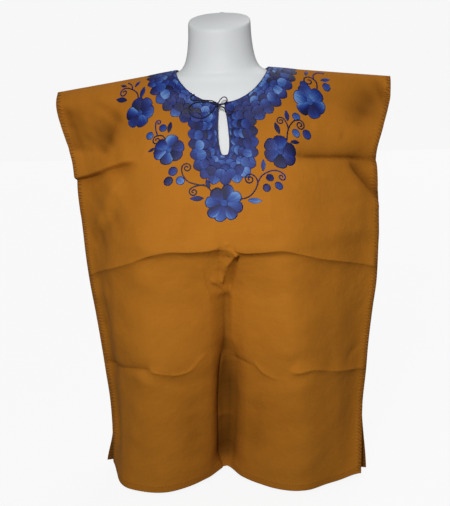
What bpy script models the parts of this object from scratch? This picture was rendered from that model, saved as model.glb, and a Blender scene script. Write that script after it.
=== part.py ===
"""An embroidered poplin blouse on a limbless dress form.

Metres, +Z up, the origin on the floor under the neck. The front of the blouse faces -Y and
the viewer's right is +X. The blouse is two flat panels, joined along the shoulders and down
the sides, with open armholes above the side seams and open slits below them. Each panel is a
wall, placed through level sections of its outer face that are worked out from the tables
below. A depth in a table is measured forward of Y = 0 on the front panel and behind it on the
back panel.
"""

import math
from typing import NamedTuple

import bpy
import numpy as np

OBJECT_NAME = "embroidered_blouse"

# Cloth
CLOTH_WALL = 0.0014
SEAM_GAP = 0.0013
SHOULDER_GAP = 0.0009
SEAM_FLANGE = 0.007
FLANGE_RISE = 0.0006
FREE_EDGE_REACH = 0.003
FREE_EDGE_RISE = 0.008
VALLEY_SHOULDER = 0.030
VALLEY_SHARE = 0.44
SIDE_X = 0.180
SAMPLES = 121
MIDDLE_KNOT = 5
HEIGHT_SAMPLES = 241
NUDGE = 0.0008

# Shoulder line: a level stretch over the neck, then a straight slope down to each tip
NECK_HALF_WIDTH = 0.077
NECK_SHOULDER_Z = 0.7010
LEFT_TIP_Z = 0.672
RIGHT_TIP_Z = 0.679
TIP_X = 0.2825
FOLD_Y_AT_NECK = 0.018
FOLD_Y_AT_TIP = 0.010
NECK_PLACE = NECK_HALF_WIDTH / TIP_X
ROLL_REACH = 0.55
FRONT_ROLL = 0.052
BACK_ROLL = 0.022
TIP_ROLL = 0.030

# Neckline and keyhole slit
FRONT_NECK_DROP = 0.0545
BACK_NECK_DROP = 0.014
NECK_ROUNDNESS = 2.1
NECK_SQUARENESS = 0.75
SLIT_BOTTOM_Z = 0.565
SLIT_HALF_WIDTH_TOP = 0.0052
SLIT_HALF_WIDTH_MIDDLE = 0.0080
SLIT_HALF_WIDTH_BOTTOM = 0.0042
SLIT_RELAX = 0.050

# Side seams
ARMHOLE_BOTTOM_Z = 0.460
ARMHOLE_SPREAD = 0.030
ARMHOLE_REACH = 0.110
LEFT_SLIT_TOP_Z = 0.078
RIGHT_SLIT_TOP_Z = 0.125
LEFT_SLIT_SPREAD = (-0.014, 0.004)
RIGHT_SLIT_SPREAD = (0.011, 0.018)
HEM_VALLEY_RISE = 0.017
HEM_VALLEY_WIDTH = 0.045
HEM_CORNER_RISE = 0.006
HEM_CORNER_PLACE = 0.80
HEM_Z = 0.006

# Blue binding that covers the raw edge of the neckline and the slit
BINDING_WIDTH = 0.0042
BINDING_THICKNESS = 0.0009
BINDING_GAP = 0.0007
BINDING_LAP = 0.0005
BINDING_TURN_LEAST = 0.6

# Grid of a panel: places across outside the neck, shares of the drop from the shoulder to the
# slit's end, and heights below it
OUTER_PLACES = (0.32, 0.37, 0.42, 0.47, 0.52, 0.59, 0.66, 0.73, 0.80, 0.87, 0.93, 0.972, 1.0)
FRONT_NECK_TURNS = 8
BACK_NECK_TURNS = 6
FRONT_UPPER = (
    0.0, 0.003, 0.014, 0.035, 0.066, 0.105, 0.155, 0.215, 0.285, 0.365, 0.45, 0.54, 0.635,
    0.735, 0.84, 0.93, 1.0,
)
FRONT_LOWER = (
    0.545, 0.520, 0.495, 0.470, 0.448, 0.434, 0.424, 0.414, 0.404, 0.378, 0.347, 0.320,
    0.290, 0.262, 0.240, 0.224, 0.207, 0.190, 0.155, 0.120, 0.090, 0.060, 0.030, 0.0,
)
FRONT_SIDE_ROWS = 4
BACK_UPPER = (0.0, 0.003, 0.02, 0.06, 0.12, 0.20, 0.32, 0.48, 0.68, 0.86, 1.0)
BACK_LOWER = (0.520, 0.470, 0.434, 0.404, 0.347, 0.290, 0.224, 0.155, 0.120, 0.090, 0.060, 0.030, 0.0)
BACK_SIDE_ROWS = 2
HEM_BLEND_Z = 0.060

# Tie cord
CORD_RADIUS = 0.0009
KNOT_REACH = (0.0034, 0.0028, 0.0030)
KNOT_PLACE = (-0.0030, -0.0642, 0.6442)
CORD_STEP = 0.0045

# Dress form
FORM_SIDES = 40
FORM_SQUARENESS = 2.25


class Level(NamedTuple):
    """One level section of a panel, from its left edge to its right edge."""

    z: float
    left_x: float
    left_edge: float
    left_side: float
    left_fold_x: float
    left_fold: float
    middle_x: float
    middle: float
    right_fold_x: float
    right_fold: float
    right_side: float
    right_x: float
    right_edge: float


class BackLevel(NamedTuple):
    """One level section of the back panel, whose edges follow the front panel's."""

    z: float
    left_side: float
    left_fold_x: float
    left_fold: float
    middle_x: float
    middle: float
    right_fold_x: float
    right_fold: float
    right_side: float


class Ring(NamedTuple):
    """One ring of the dress form: its half width, front, side and back lines, and tilt."""

    z: float
    half_width: float
    front_y: float
    side_y: float
    back_y: float
    tilt: float


FRONT = (
    # z, left x, edge, side, fold x, fold, middle x, middle, fold x, fold, side, right x, edge
    Level(0.700, -0.281, 0.000, 0.020, -0.110, 0.040, 0.003, 0.050, 0.110, 0.040, 0.020, 0.284, 0.000),
    Level(0.640, -0.280, 0.006, 0.026, -0.110, 0.048, 0.004, 0.060, 0.110, 0.048, 0.026, 0.281, 0.006),
    Level(0.600, -0.270, 0.014, 0.042, -0.110, 0.068, 0.006, 0.078, 0.110, 0.068, 0.042, 0.270, 0.014),
    Level(0.550, -0.256, 0.020, 0.060, -0.110, 0.094, 0.009, 0.098, 0.110, 0.094, 0.062, 0.258, 0.022),
    Level(0.480, -0.249, 0.026, 0.078, -0.112, 0.121, 0.008, 0.122, 0.108, 0.121, 0.078, 0.260, 0.030),
    Level(0.424, -0.245, 0.030, 0.096, -0.115, 0.140, 0.002, 0.137, 0.104, 0.140, 0.096, 0.260, 0.036),
    Level(0.404, -0.244, 0.031, 0.097, -0.116, 0.136, 0.003, 0.127, 0.105, 0.136, 0.096, 0.259, 0.037),
    Level(0.347, -0.239, 0.034, 0.098, -0.119, 0.134, 0.007, 0.107, 0.108, 0.134, 0.097, 0.256, 0.041),
    Level(0.290, -0.232, 0.035, 0.101, -0.122, 0.142, 0.006, 0.104, 0.114, 0.142, 0.100, 0.248, 0.045),
    Level(0.224, -0.225, 0.036, 0.104, -0.126, 0.149, 0.005, 0.096, 0.117, 0.148, 0.103, 0.240, 0.049),
    Level(0.190, -0.222, 0.036, 0.100, -0.126, 0.144, 0.003, 0.089, 0.118, 0.147, 0.105, 0.237, 0.052),
    Level(0.120, -0.217, 0.034, 0.102, -0.124, 0.145, 0.000, 0.079, 0.119, 0.145, 0.108, 0.229, 0.061),
    Level(0.060, -0.216, 0.038, 0.112, -0.120, 0.148, -0.005, 0.073, 0.116, 0.144, 0.109, 0.226, 0.078),
    Level(0.000, -0.217, 0.043, 0.122, -0.114, 0.149, -0.010, 0.069, 0.110, 0.142, 0.109, 0.223, 0.096),
)

BACK = (
    # z, side, fold x, fold, middle x, middle, fold x, fold, side
    BackLevel(0.700, 0.032, -0.110, 0.054, 0.003, 0.071, 0.110, 0.054, 0.032),
    BackLevel(0.640, 0.044, -0.110, 0.072, 0.000, 0.080, 0.110, 0.072, 0.044),
    BackLevel(0.600, 0.046, -0.110, 0.078, 0.000, 0.086, 0.110, 0.078, 0.046),
    BackLevel(0.550, 0.042, -0.110, 0.079, 0.000, 0.088, 0.110, 0.079, 0.042),
    BackLevel(0.480, 0.036, -0.110, 0.079, 0.000, 0.088, 0.110, 0.078, 0.034),
    BackLevel(0.420, 0.034, -0.110, 0.083, 0.000, 0.088, 0.110, 0.081, 0.032),
    BackLevel(0.340, 0.036, -0.108, 0.091, 0.002, 0.086, 0.112, 0.087, 0.032),
    BackLevel(0.240, 0.042, -0.105, 0.099, 0.004, 0.085, 0.114, 0.093, 0.034),
    BackLevel(0.130, 0.050, -0.102, 0.107, 0.006, 0.085, 0.116, 0.098, 0.036),
    BackLevel(0.000, 0.054, -0.098, 0.113, 0.010, 0.087, 0.118, 0.103, 0.034),
)

FORM = (
    # z, half width, front, side, back, tilt
    Ring(0.000, 0.132, -0.033, 0.012, 0.056, 0.00),
    Ring(0.006, 0.139, -0.038, 0.011, 0.062, 0.00),
    Ring(0.025, 0.147, -0.046, 0.009, 0.067, 0.00),
    Ring(0.065, 0.153, -0.053, 0.008, 0.071, 0.00),
    Ring(0.130, 0.151, -0.055, 0.008, 0.073, 0.00),
    Ring(0.200, 0.142, -0.058, 0.006, 0.070, 0.00),
    Ring(0.260, 0.130, -0.062, 0.004, 0.064, 0.00),
    Ring(0.320, 0.123, -0.070, 0.002, 0.060, 0.00),
    Ring(0.370, 0.128, -0.086, 0.000, 0.062, 0.00),
    Ring(0.420, 0.137, -0.104, 0.000, 0.066, 0.00),
    Ring(0.460, 0.143, -0.109, 0.000, 0.070, 0.00),
    Ring(0.500, 0.147, -0.103, 0.002, 0.073, 0.00),
    Ring(0.540, 0.153, -0.088, 0.006, 0.075, 0.00),
    Ring(0.575, 0.163, -0.074, 0.010, 0.075, 0.00),
    Ring(0.605, 0.170, -0.064, 0.014, 0.073, 0.00),
    Ring(0.630, 0.168, -0.0545, 0.016, 0.070, 0.00),
    Ring(0.650, 0.161, -0.0490, 0.017, 0.067, 0.00),
    Ring(0.668, 0.145, -0.0425, 0.018, 0.062, 0.00),
    Ring(0.680, 0.121, -0.0355, 0.018, 0.059, 0.00),
    Ring(0.689, 0.101, -0.0325, 0.018, 0.0560, 0.01),
    Ring(0.696, 0.079, -0.0295, 0.018, 0.0555, 0.03),
    Ring(0.704, 0.066, -0.029, 0.018, 0.0560, 0.08),
    Ring(0.718, 0.059, -0.028, 0.018, 0.058, 0.16),
    Ring(0.738, 0.055, -0.027, 0.018, 0.060, 0.26),
    Ring(0.760, 0.053, -0.027, 0.018, 0.061, 0.34),
    Ring(0.778, 0.0525, -0.027, 0.018, 0.062, 0.37),
    Ring(0.781, 0.0500, -0.024, 0.018, 0.059, 0.37),
)

# Routes of the tie, each from the knot: two loops back to it, two free ends, and the bridge to
# the slit's right side
TIE_ROUTES = {
    "tie_loop_left": (
        (-0.0068, -0.0632, 0.6455),
        (-0.0120, -0.0604, 0.6472),
        (-0.0188, -0.0574, 0.6488),
        (-0.0319, -0.0551, 0.6491),
        (-0.0438, -0.0545, 0.6466),
        (-0.0503, -0.0556, 0.6406),
        (-0.0485, -0.0584, 0.6321),
        (-0.0396, -0.0621, 0.6255),
        (-0.0297, -0.0637, 0.6240),
        (-0.0191, -0.0640, 0.6272),
        (-0.0117, -0.0636, 0.6340),
        (-0.0062, -0.0638, 0.6415),
    ),
    "tie_end_left": (
        (-0.0052, -0.0626, 0.6477),
        (-0.0115, -0.0606, 0.6503),
        (-0.0196, -0.0588, 0.6512),
        (-0.0300, -0.0560, 0.6522),
        (-0.0400, -0.0545, 0.6523),
        (-0.0462, -0.0540, 0.6528),
        (-0.0468, -0.0532, 0.6556),
        (-0.0425, -0.0526, 0.6582),
        (-0.0361, -0.0520, 0.6606),
    ),
    "tie_loop_right": (
        (-0.0004, -0.0633, 0.6477),
        (0.0030, -0.0630, 0.6524),
        (0.0080, -0.0625, 0.6559),
        (0.0126, -0.0630, 0.6540),
        (0.0128, -0.0648, 0.6490),
        (0.0082, -0.0664, 0.6458),
        (0.0008, -0.0660, 0.6446),
    ),
    "tie_end_right": (
        (-0.0003, -0.0664, 0.6420),
        (0.0050, -0.0672, 0.6408),
        (0.0092, -0.0668, 0.6374),
        (0.0104, -0.0672, 0.6318),
        (0.0146, -0.0670, 0.6282),
        (0.0198, -0.0655, 0.6296),
        (0.0222, -0.0632, 0.6345),
    ),
    "tie_bridge": (
        (0.0009, -0.0630, 0.6432),
        (0.0040, -0.0632, 0.6436),
        (0.0082, -0.0624, 0.6445),
    ),
}


def clear_scene():
    """Remove every object of the start-up scene."""
    for obj in list(bpy.data.objects):
        bpy.data.objects.remove(obj, do_unlink=True)


def make_collection(name):
    """Add a collection under the scene's own."""
    collection = bpy.data.collections.new(name)
    bpy.context.scene.collection.children.link(collection)
    return collection


def make_material(name, colour, roughness):
    """A Principled material with the sub-part's own colour and finish."""
    material = bpy.data.materials.new(name)
    material.use_nodes = True
    shader = material.node_tree.nodes["Principled BSDF"]
    shader.inputs["Base Color"].default_value = (*colour, 1.0)
    shader.inputs["Roughness"].default_value = roughness
    return material


def add_mesh(name, points, faces, material, collection):
    """One named object from points and faces, shaded smooth."""
    mesh = bpy.data.meshes.new(name)
    mesh.from_pydata([tuple(point) for point in points], [], faces)
    mesh.materials.append(material)
    mesh.shade_smooth()
    obj = bpy.data.objects.new(name, mesh)
    collection.objects.link(obj)
    return obj


def hermite(knots, values, slopes, places):
    """A cubic through the knots with the given slopes."""
    step = np.diff(knots)
    index = np.clip(np.searchsorted(knots, places, side="right") - 1, 0, len(step) - 1)
    t = (places - knots[index]) / step[index]
    start = (1 + 2 * t) * (1 - t) ** 2 * values[index]
    leave = t * (1 - t) ** 2 * step[index] * slopes[index]
    end = t * t * (3 - 2 * t) * values[index + 1]
    arrive = t * t * (t - 1) * step[index] * slopes[index + 1]
    return start + leave + end + arrive


def smooth_curve(knots, values, places):
    """A curve whose slope at a knot follows its neighbours."""
    return hermite(knots, values, np.gradient(values, knots), places)


def steady_curve(knots, values, places):
    """A curve that never swings past its knots."""
    step = np.diff(knots)
    rise = np.diff(values) / step
    slopes = np.zeros_like(values)
    before = 2 * step[1:] + step[:-1]
    after = step[1:] + 2 * step[:-1]
    same = rise[:-1] * rise[1:] > 0
    blend = before[same] / rise[:-1][same] + after[same] / rise[1:][same]
    slopes[1:-1][same] = (before + after)[same] / blend
    slopes[0] = rise[0]
    slopes[-1] = rise[-1]
    return hermite(knots, values, slopes, np.clip(places, knots[0], knots[-1]))


def smooth_step(value):
    """0 below 0, 1 above 1, and smooth between."""
    value = np.clip(value, 0.0, 1.0)
    return value * value * (3 - 2 * value)


def section(level, free_left):
    """X and depth of one level section at evenly spaced places from -1 to 1.

    The two halves meet at the middle line, and each is spaced by its own length of cloth.
    The edges lie flat where they are sewn; free_left, 0 to 1, is how far the left one isn't.
    """
    left_reach = SEAM_FLANGE + (FREE_EDGE_REACH - SEAM_FLANGE) * free_left
    left_rise = FLANGE_RISE + (FREE_EDGE_RISE - FLANGE_RISE) * free_left
    across = np.array(
        [
            level.left_x,
            level.left_x + left_reach,
            -SIDE_X,
            level.left_fold_x,
            level.middle_x - VALLEY_SHOULDER,
            level.middle_x,
            level.middle_x + VALLEY_SHOULDER,
            level.right_fold_x,
            SIDE_X,
            level.right_x - SEAM_FLANGE,
            level.right_x,
        ]
    )
    depth = np.array(
        [
            level.left_edge,
            level.left_edge + left_rise,
            level.left_side,
            level.left_fold,
            level.middle + (level.left_fold - level.middle) * VALLEY_SHARE,
            level.middle,
            level.middle + (level.right_fold - level.middle) * VALLEY_SHARE,
            level.right_fold,
            level.right_side,
            level.right_edge + FLANGE_RISE,
            level.right_edge,
        ]
    )
    knots = np.concatenate([[0.0], np.cumsum(np.hypot(np.diff(across), np.diff(depth)))])
    fine = np.linspace(0.0, knots[-1], 6 * SAMPLES)
    x = smooth_curve(knots, across, fine)
    y = smooth_curve(knots, depth, fine)
    cloth = np.concatenate([[0.0], np.cumsum(np.hypot(np.diff(x), np.diff(y)))])
    left = np.interp(knots[MIDDLE_KNOT], fine, cloth)
    place = np.linspace(-1.0, 1.0, SAMPLES)
    wanted = np.where(place < 0, left * (1 + place), left + (cloth[-1] - left) * place)
    return np.interp(wanted, cloth, x), np.interp(wanted, cloth, y)


def follow(levels, heights):
    """Each column of a table of levels, read at the heights."""
    knots = np.array([level.z for level in levels])[::-1]
    columns = np.array(levels)[::-1]
    names = levels[0]._fields[1:]
    return {name: steady_curve(knots, columns[:, k + 1], heights) for k, name in enumerate(names)}


def front_levels(heights):
    """The front panel's sections at the heights."""
    fields = follow(FRONT, heights)
    return [Level(z, *[fields[name][k] for name in Level._fields[1:]]) for k, z in enumerate(heights)]


def back_levels(heights):
    """The back panel's sections, with its edges against the front panel's where they are sewn."""
    fields = follow(BACK, heights)
    front = follow(FRONT, heights)
    seam = 2 * CLOTH_WALL + SEAM_GAP
    armhole = ARMHOLE_SPREAD * smooth_step((heights - ARMHOLE_BOTTOM_Z) / ARMHOLE_REACH)
    left = smooth_step((LEFT_SLIT_TOP_Z - heights) / LEFT_SLIT_TOP_Z)
    right = smooth_step((RIGHT_SLIT_TOP_Z - heights) / RIGHT_SLIT_TOP_Z)
    fields["left_x"] = front["left_x"] + LEFT_SLIT_SPREAD[0] * left
    fields["right_x"] = front["right_x"] + RIGHT_SLIT_SPREAD[0] * right
    fields["left_edge"] = seam - front["left_edge"] + armhole + LEFT_SLIT_SPREAD[1] * left
    fields["right_edge"] = seam - front["right_edge"] + armhole + RIGHT_SLIT_SPREAD[1] * right
    return [Level(z, *[fields[name][k] for name in Level._fields[1:]]) for k, z in enumerate(heights)]


class Drape:
    """The outer face of one panel: a point for each place across and height."""

    def __init__(self, make_levels, facing, roll, neck_drop):
        """Work out the level sections of a panel that faces forward, -1, or back, 1."""
        self.facing = facing
        self.roll = roll
        self.neck_drop = neck_drop
        self.heights = np.linspace(FRONT[-1].z, FRONT[0].z, HEIGHT_SAMPLES)
        free = smooth_step((LEFT_SLIT_TOP_Z - self.heights) / LEFT_SLIT_TOP_Z) * (facing < 0)
        rows = [section(level, share) for level, share in zip(make_levels(self.heights), free)]
        self.x = np.array([row[0] for row in rows])
        self.depth = np.array([row[1] for row in rows])

    def read(self, grid, place, height):
        """The grid's value at a place across and a height, between its samples."""
        column = (place + 1) / 2 * (SAMPLES - 1)
        row = np.interp(height, self.heights, np.arange(HEIGHT_SAMPLES))
        i = min(int(row), HEIGHT_SAMPLES - 2)
        j = min(int(column), SAMPLES - 2)
        low = grid[i, j] + (grid[i, j + 1] - grid[i, j]) * (column - j)
        high = grid[i + 1, j] + (grid[i + 1, j + 1] - grid[i + 1, j]) * (column - j)
        return low + (high - low) * (row - i)

    def point(self, place, height):
        """The panel's outer face at a place across, -1 to 1, and a height."""
        start = self.facing * shoulder_fold(place)
        toward_tip = smooth_step((abs(place) - NECK_PLACE) / ROLL_REACH)
        roll = self.roll + (TIP_ROLL - self.roll) * toward_tip
        down = min(max(shoulder_height(place) - height, 0.0) / roll, 1.0)
        turn = math.sqrt(1.0 - (1.0 - down) ** 2)
        depth = start + (self.read(self.depth, place, height) - start) * turn
        return np.array([self.read(self.x, place, height), self.facing * depth, height])

    def normal(self, place, height):
        """The direction straight out of the cloth."""
        across = self.point(place + NUDGE, height) - self.point(place - NUDGE, height)
        down = self.point(place, height - NUDGE) - self.point(place, height)
        out = np.cross(down, across)
        out = out / np.linalg.norm(out)
        return out if out[1] * self.facing > 0 or out[2] > 0.9 else -out

    def neckline(self, place, side_drop):
        """Height of the neckline, which starts below the shoulder by the drop at its side."""
        ratio = min(abs(place) / NECK_PLACE, 1.0)
        bow = (1.0 - ratio ** NECK_ROUNDNESS) ** NECK_SQUARENESS
        return NECK_SHOULDER_Z - side_drop - (self.neck_drop - side_drop) * bow


def shoulder_height(place):
    """Height of the shoulder line at a place across."""
    tip_z = LEFT_TIP_Z if place < 0 else RIGHT_TIP_Z
    toward_tip = max(abs(place) - NECK_PLACE, 0.0) / (1 - NECK_PLACE)
    return NECK_SHOULDER_Z + (tip_z - NECK_SHOULDER_Z) * toward_tip


def shoulder_fold(place):
    """Y of the shoulder line at a place across."""
    toward_tip = max(abs(place) - NECK_PLACE, 0.0) / (1 - NECK_PLACE)
    return FOLD_Y_AT_NECK + (FOLD_Y_AT_TIP - FOLD_Y_AT_NECK) * toward_tip


def slit_half_width(fraction):
    """Half the keyhole's width, in metres, from its top, 0, to its foot, 1."""
    if fraction < 0.5:
        opening = math.sin(math.pi * fraction)
        return SLIT_HALF_WIDTH_TOP + (SLIT_HALF_WIDTH_MIDDLE - SLIT_HALF_WIDTH_TOP) * opening
    closing = math.cos(math.pi * (fraction - 0.5)) ** 0.5 if fraction < 1 else 0.0
    return SLIT_HALF_WIDTH_BOTTOM + (SLIT_HALF_WIDTH_MIDDLE - SLIT_HALF_WIDTH_BOTTOM) * closing


def hem_height(place):
    """Height of the hem: level, but higher in the middle valley and at the corners."""
    valley = math.exp(-((place * TIP_X / HEM_VALLEY_WIDTH) ** 2))
    corner = smooth_step((abs(place) - HEM_CORNER_PLACE) / (1 - HEM_CORNER_PLACE))
    return HEM_Z + HEM_VALLEY_RISE * valley + HEM_CORNER_RISE * float(corner)


def column_heights(drape, place, upper, lower, side_rows):
    """Heights of one column of a panel from its top edge to its hem, None where it is open."""
    top = shoulder_height(place)
    above = [top + (SLIT_BOTTOM_Z - top) * share for share in upper]
    if abs(place) < NECK_PLACE - NUDGE:
        edge = drape.neckline(place, (NECK_SHOULDER_Z - SLIT_BOTTOM_Z) * upper[side_rows])
        rest = upper[side_rows:]
        shares = [(share - rest[0]) / (1 - rest[0]) for share in rest]
        above = [None] * side_rows + [edge + (SLIT_BOTTOM_Z - edge) * share for share in shares]
    hem = hem_height(place)
    below = [z if z >= HEM_BLEND_Z else hem + z * (1 - hem / HEM_BLEND_Z) for z in lower]
    return above + below


def neck_places(turns, inner):
    """Places from the neck's side inwards, closer where the neckline is steep."""
    steps = [math.cos(math.pi / 2 * k / turns) for k in range(turns)]
    return [inner + (NECK_PLACE - inner) * step for step in steps]


def mirrored(places):
    """The places on the left, then the same on the right, in order."""
    ordered = sorted(places)
    return [-place for place in reversed(ordered)], ordered


def front_grid(drape):
    """Places and heights of the front panel, column by column."""
    slit = SLIT_HALF_WIDTH_TOP / TIP_X
    relax = SLIT_RELAX / TIP_X
    left, right = mirrored([*OUTER_PLACES, *neck_places(FRONT_NECK_TURNS, slit), slit])
    columns = []
    for place in [*left, 0.0, *right]:
        heights = column_heights(drape, place, FRONT_UPPER, FRONT_LOWER, FRONT_SIDE_ROWS)
        column = []
        for row, height in enumerate(heights):
            share = FRONT_UPPER[row] if row < len(FRONT_UPPER) else 1.0
            shift = (slit_half_width(share) / TIP_X - slit) * max(relax - abs(place), 0.0) / (relax - slit)
            moved = place + shift * np.sign(place)
            open_slit = place == 0.0 and row < len(FRONT_UPPER) - 1
            column.append(None if height is None or open_slit else (moved, height))
        columns.append(column)
    return columns


def back_grid(drape):
    """Places and heights of the back panel, column by column."""
    left, right = mirrored([*OUTER_PLACES, *neck_places(BACK_NECK_TURNS, 0.0)])
    columns = []
    for place in [*left, 0.0, *right]:
        heights = column_heights(drape, place, BACK_UPPER, BACK_LOWER, BACK_SIDE_ROWS)
        columns.append([None if height is None else (place, height) for height in heights])
    return columns


def panel_object(name, drape, columns, material, collection):
    """A panel's outer face over its grid, thickened inwards to the cloth's wall."""
    index = {}
    points = []
    for j, column in enumerate(columns):
        for i, spot in enumerate(column):
            if spot is None:
                continue
            index[i, j] = len(points)
            point = drape.point(*spot)
            if i == 0:
                point[1] += drape.facing * SHOULDER_GAP / 2
            points.append(point)
    faces = []
    for i, j in index:
        corners = [(i, j), (i + 1, j), (i + 1, j + 1), (i, j + 1)]
        if all(corner in index for corner in corners):
            face = [index[corner] for corner in corners]
            faces.append(face if drape.facing < 0 else face[::-1])
    obj = add_mesh(name, points, faces, material, collection)
    wall = obj.modifiers.new("wall", "SOLIDIFY")
    wall.thickness = CLOTH_WALL
    wall.offset = -1.0
    wall.use_even_offset = True
    return obj


def binding_path(front, front_columns, back, back_columns):
    """The raw edge as a closed loop: round the neck, then down and up the slit."""
    middle = len(front_columns) // 2
    reach = FRONT_NECK_TURNS + 1
    slit_end = len(FRONT_UPPER)
    across = [column[FRONT_SIDE_ROWS] for column in front_columns[middle - reach : middle + reach + 1]]
    left_side = front_columns[middle - reach][:FRONT_SIDE_ROWS]
    right_side = front_columns[middle + reach][:FRONT_SIDE_ROWS]
    back_middle = len(back_columns) // 2
    back_left = back_columns[back_middle - BACK_NECK_TURNS][1:BACK_SIDE_ROWS]
    back_right = back_columns[back_middle + BACK_NECK_TURNS][1:BACK_SIDE_ROWS]
    back_span = back_columns[back_middle - BACK_NECK_TURNS : back_middle + BACK_NECK_TURNS + 1]
    round_back = back_left + [column[BACK_SIDE_ROWS] for column in back_span] + back_right[::-1]
    left_slit = front_columns[middle - 1][FRONT_SIDE_ROWS + 1 : slit_end]
    right_slit = front_columns[middle + 1][FRONT_SIDE_ROWS + 1 : slit_end]
    path = [(front, *spot) for spot in across[:reach][::-1] + left_side[::-1]]
    path += [(back, *spot) for spot in round_back]
    path += [(front, *spot) for spot in right_side + across[reach + 1 :][::-1]]
    path += [(front, *spot) for spot in right_slit + left_slit[::-1]]
    return path


def make_binding(path, material, collection):
    """The narrow band that covers the raw edge, lying just off the cloth's outer face."""
    spots = [drape.point(place, height) for drape, place, height in path]
    count = len(spots)
    points = []
    for k, (drape, place, height) in enumerate(path):
        out = drape.normal(place, height)
        before = spots[k] - spots[k - 1]
        after = spots[(k + 1) % count] - spots[k]
        along = before / np.linalg.norm(before) + after / np.linalg.norm(after)
        inward = np.cross(out, along)
        inward = inward / np.linalg.norm(inward)
        turn = np.cross(before / np.linalg.norm(before), inward)
        stretch = 1.0 / max(np.linalg.norm(turn), BINDING_TURN_LEAST)
        near = spots[k] - inward * BINDING_LAP
        far = spots[k] + inward * (BINDING_WIDTH - BINDING_LAP) * stretch
        low = out * BINDING_GAP
        high = out * (BINDING_GAP + BINDING_THICKNESS)
        points += [near + low, far + low, far + high, near + high]
    faces = []
    for k in range(count):
        after = (k + 1) % count
        for side in range(4):
            turn = (side + 1) % 4
            faces.append((4 * k + side, 4 * k + turn, 4 * after + turn, 4 * after + side))
    return add_mesh("neck_binding", points, faces, material, collection)


def make_form(material, collection):
    """The limbless dress form: level rings up to the neck, whose flat top leans forward."""
    points = []
    for ring in FORM:
        for k in range(FORM_SIDES):
            angle = 2 * math.pi * k / FORM_SIDES
            reach = (abs(math.cos(angle)) ** FORM_SQUARENESS + abs(math.sin(angle)) ** FORM_SQUARENESS)
            reach = reach ** (-1 / FORM_SQUARENESS)
            depth = ring.back_y - ring.side_y if math.sin(angle) > 0 else ring.side_y - ring.front_y
            y = depth * reach * math.sin(angle)
            x = ring.half_width * reach * math.cos(angle)
            points.append((x, ring.side_y + y, ring.z + ring.tilt * y))
    faces = []
    for r in range(len(FORM) - 1):
        for k in range(FORM_SIDES):
            after = (k + 1) % FORM_SIDES
            low = r * FORM_SIDES
            high = low + FORM_SIDES
            faces.append((low + k, low + after, high + after, high + k))
    faces.append(tuple(range(FORM_SIDES))[::-1])
    top = (len(FORM) - 1) * FORM_SIDES
    faces.append(tuple(range(top, top + FORM_SIDES)))
    return add_mesh("dress_form", points, faces, material, collection)


def make_knot(material, collection):
    """The bow's knot, a small round lump over the slit's upper end."""
    bpy.ops.mesh.primitive_uv_sphere_add(segments=12, ring_count=8, radius=1.0, location=KNOT_PLACE)
    knot = bpy.context.object
    knot.name = "tie_knot"
    knot.scale = KNOT_REACH
    knot.data.materials.append(material)
    knot.data.shade_smooth()
    knot.users_collection[0].objects.unlink(knot)
    collection.objects.link(knot)
    return knot


def make_cord(name, route, material, collection):
    """A thin cord as a round tube along a smooth curve through its route's points."""
    route = np.array(route)
    knots = np.concatenate([[0.0], np.cumsum(np.linalg.norm(np.diff(route, axis=0), axis=1))])
    count = max(round(knots[-1] / CORD_STEP), 2) + 1
    places = np.linspace(0.0, knots[-1], count)
    smooth = np.array([smooth_curve(knots, route[:, axis], places) for axis in range(3)]).T
    curve = bpy.data.curves.new(name, "CURVE")
    curve.dimensions = "3D"
    curve.bevel_depth = CORD_RADIUS
    curve.bevel_resolution = 2
    curve.use_fill_caps = True
    spline = curve.splines.new("POLY")
    spline.points.add(count - 1)
    for point, place in zip(spline.points, smooth):
        point.co = (*place, 1.0)
    curve.materials.append(material)
    obj = bpy.data.objects.new(name, curve)
    collection.objects.link(obj)
    return obj


def main():
    """Build the blouse and its dress form."""
    clear_scene()
    collection = make_collection(OBJECT_NAME)
    cloth = make_material("mustard_poplin", (0.50, 0.22, 0.03), 0.85)
    trim = make_material("navy_binding", (0.01, 0.02, 0.10), 0.7)
    plastic = make_material("white_plastic", (0.85, 0.86, 0.86), 0.35)
    front = Drape(front_levels, -1, FRONT_ROLL, FRONT_NECK_DROP)
    back = Drape(back_levels, 1, BACK_ROLL, BACK_NECK_DROP)
    front_columns = front_grid(front)
    back_columns = back_grid(back)
    panel_object("front", front, front_columns, cloth, collection)
    panel_object("back", back, back_columns, cloth, collection)
    make_binding(binding_path(front, front_columns, back, back_columns), trim, collection)
    make_knot(trim, collection)
    for name, route in TIE_ROUTES.items():
        make_cord(name, route, trim, collection)
    make_form(plastic, collection)


main()
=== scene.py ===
"""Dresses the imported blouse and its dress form, and sets up the studio around them.

Metres, +Z up. The front of the blouse faces -Y and the viewer's right is +X. A place on a panel
is given by its share of the half width, -1 to 1, and its height. A place in the embroidery is
given by its metres across the cloth and its metres down the cloth from the shoulder fold.
The long tables are written in millimetres.
"""

import logging
import math
from collections.abc import Sequence
from dataclasses import dataclass, field
from enum import Enum
from typing import Any, NamedTuple

import bpy
import numpy as np
from mathutils import Matrix


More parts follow.
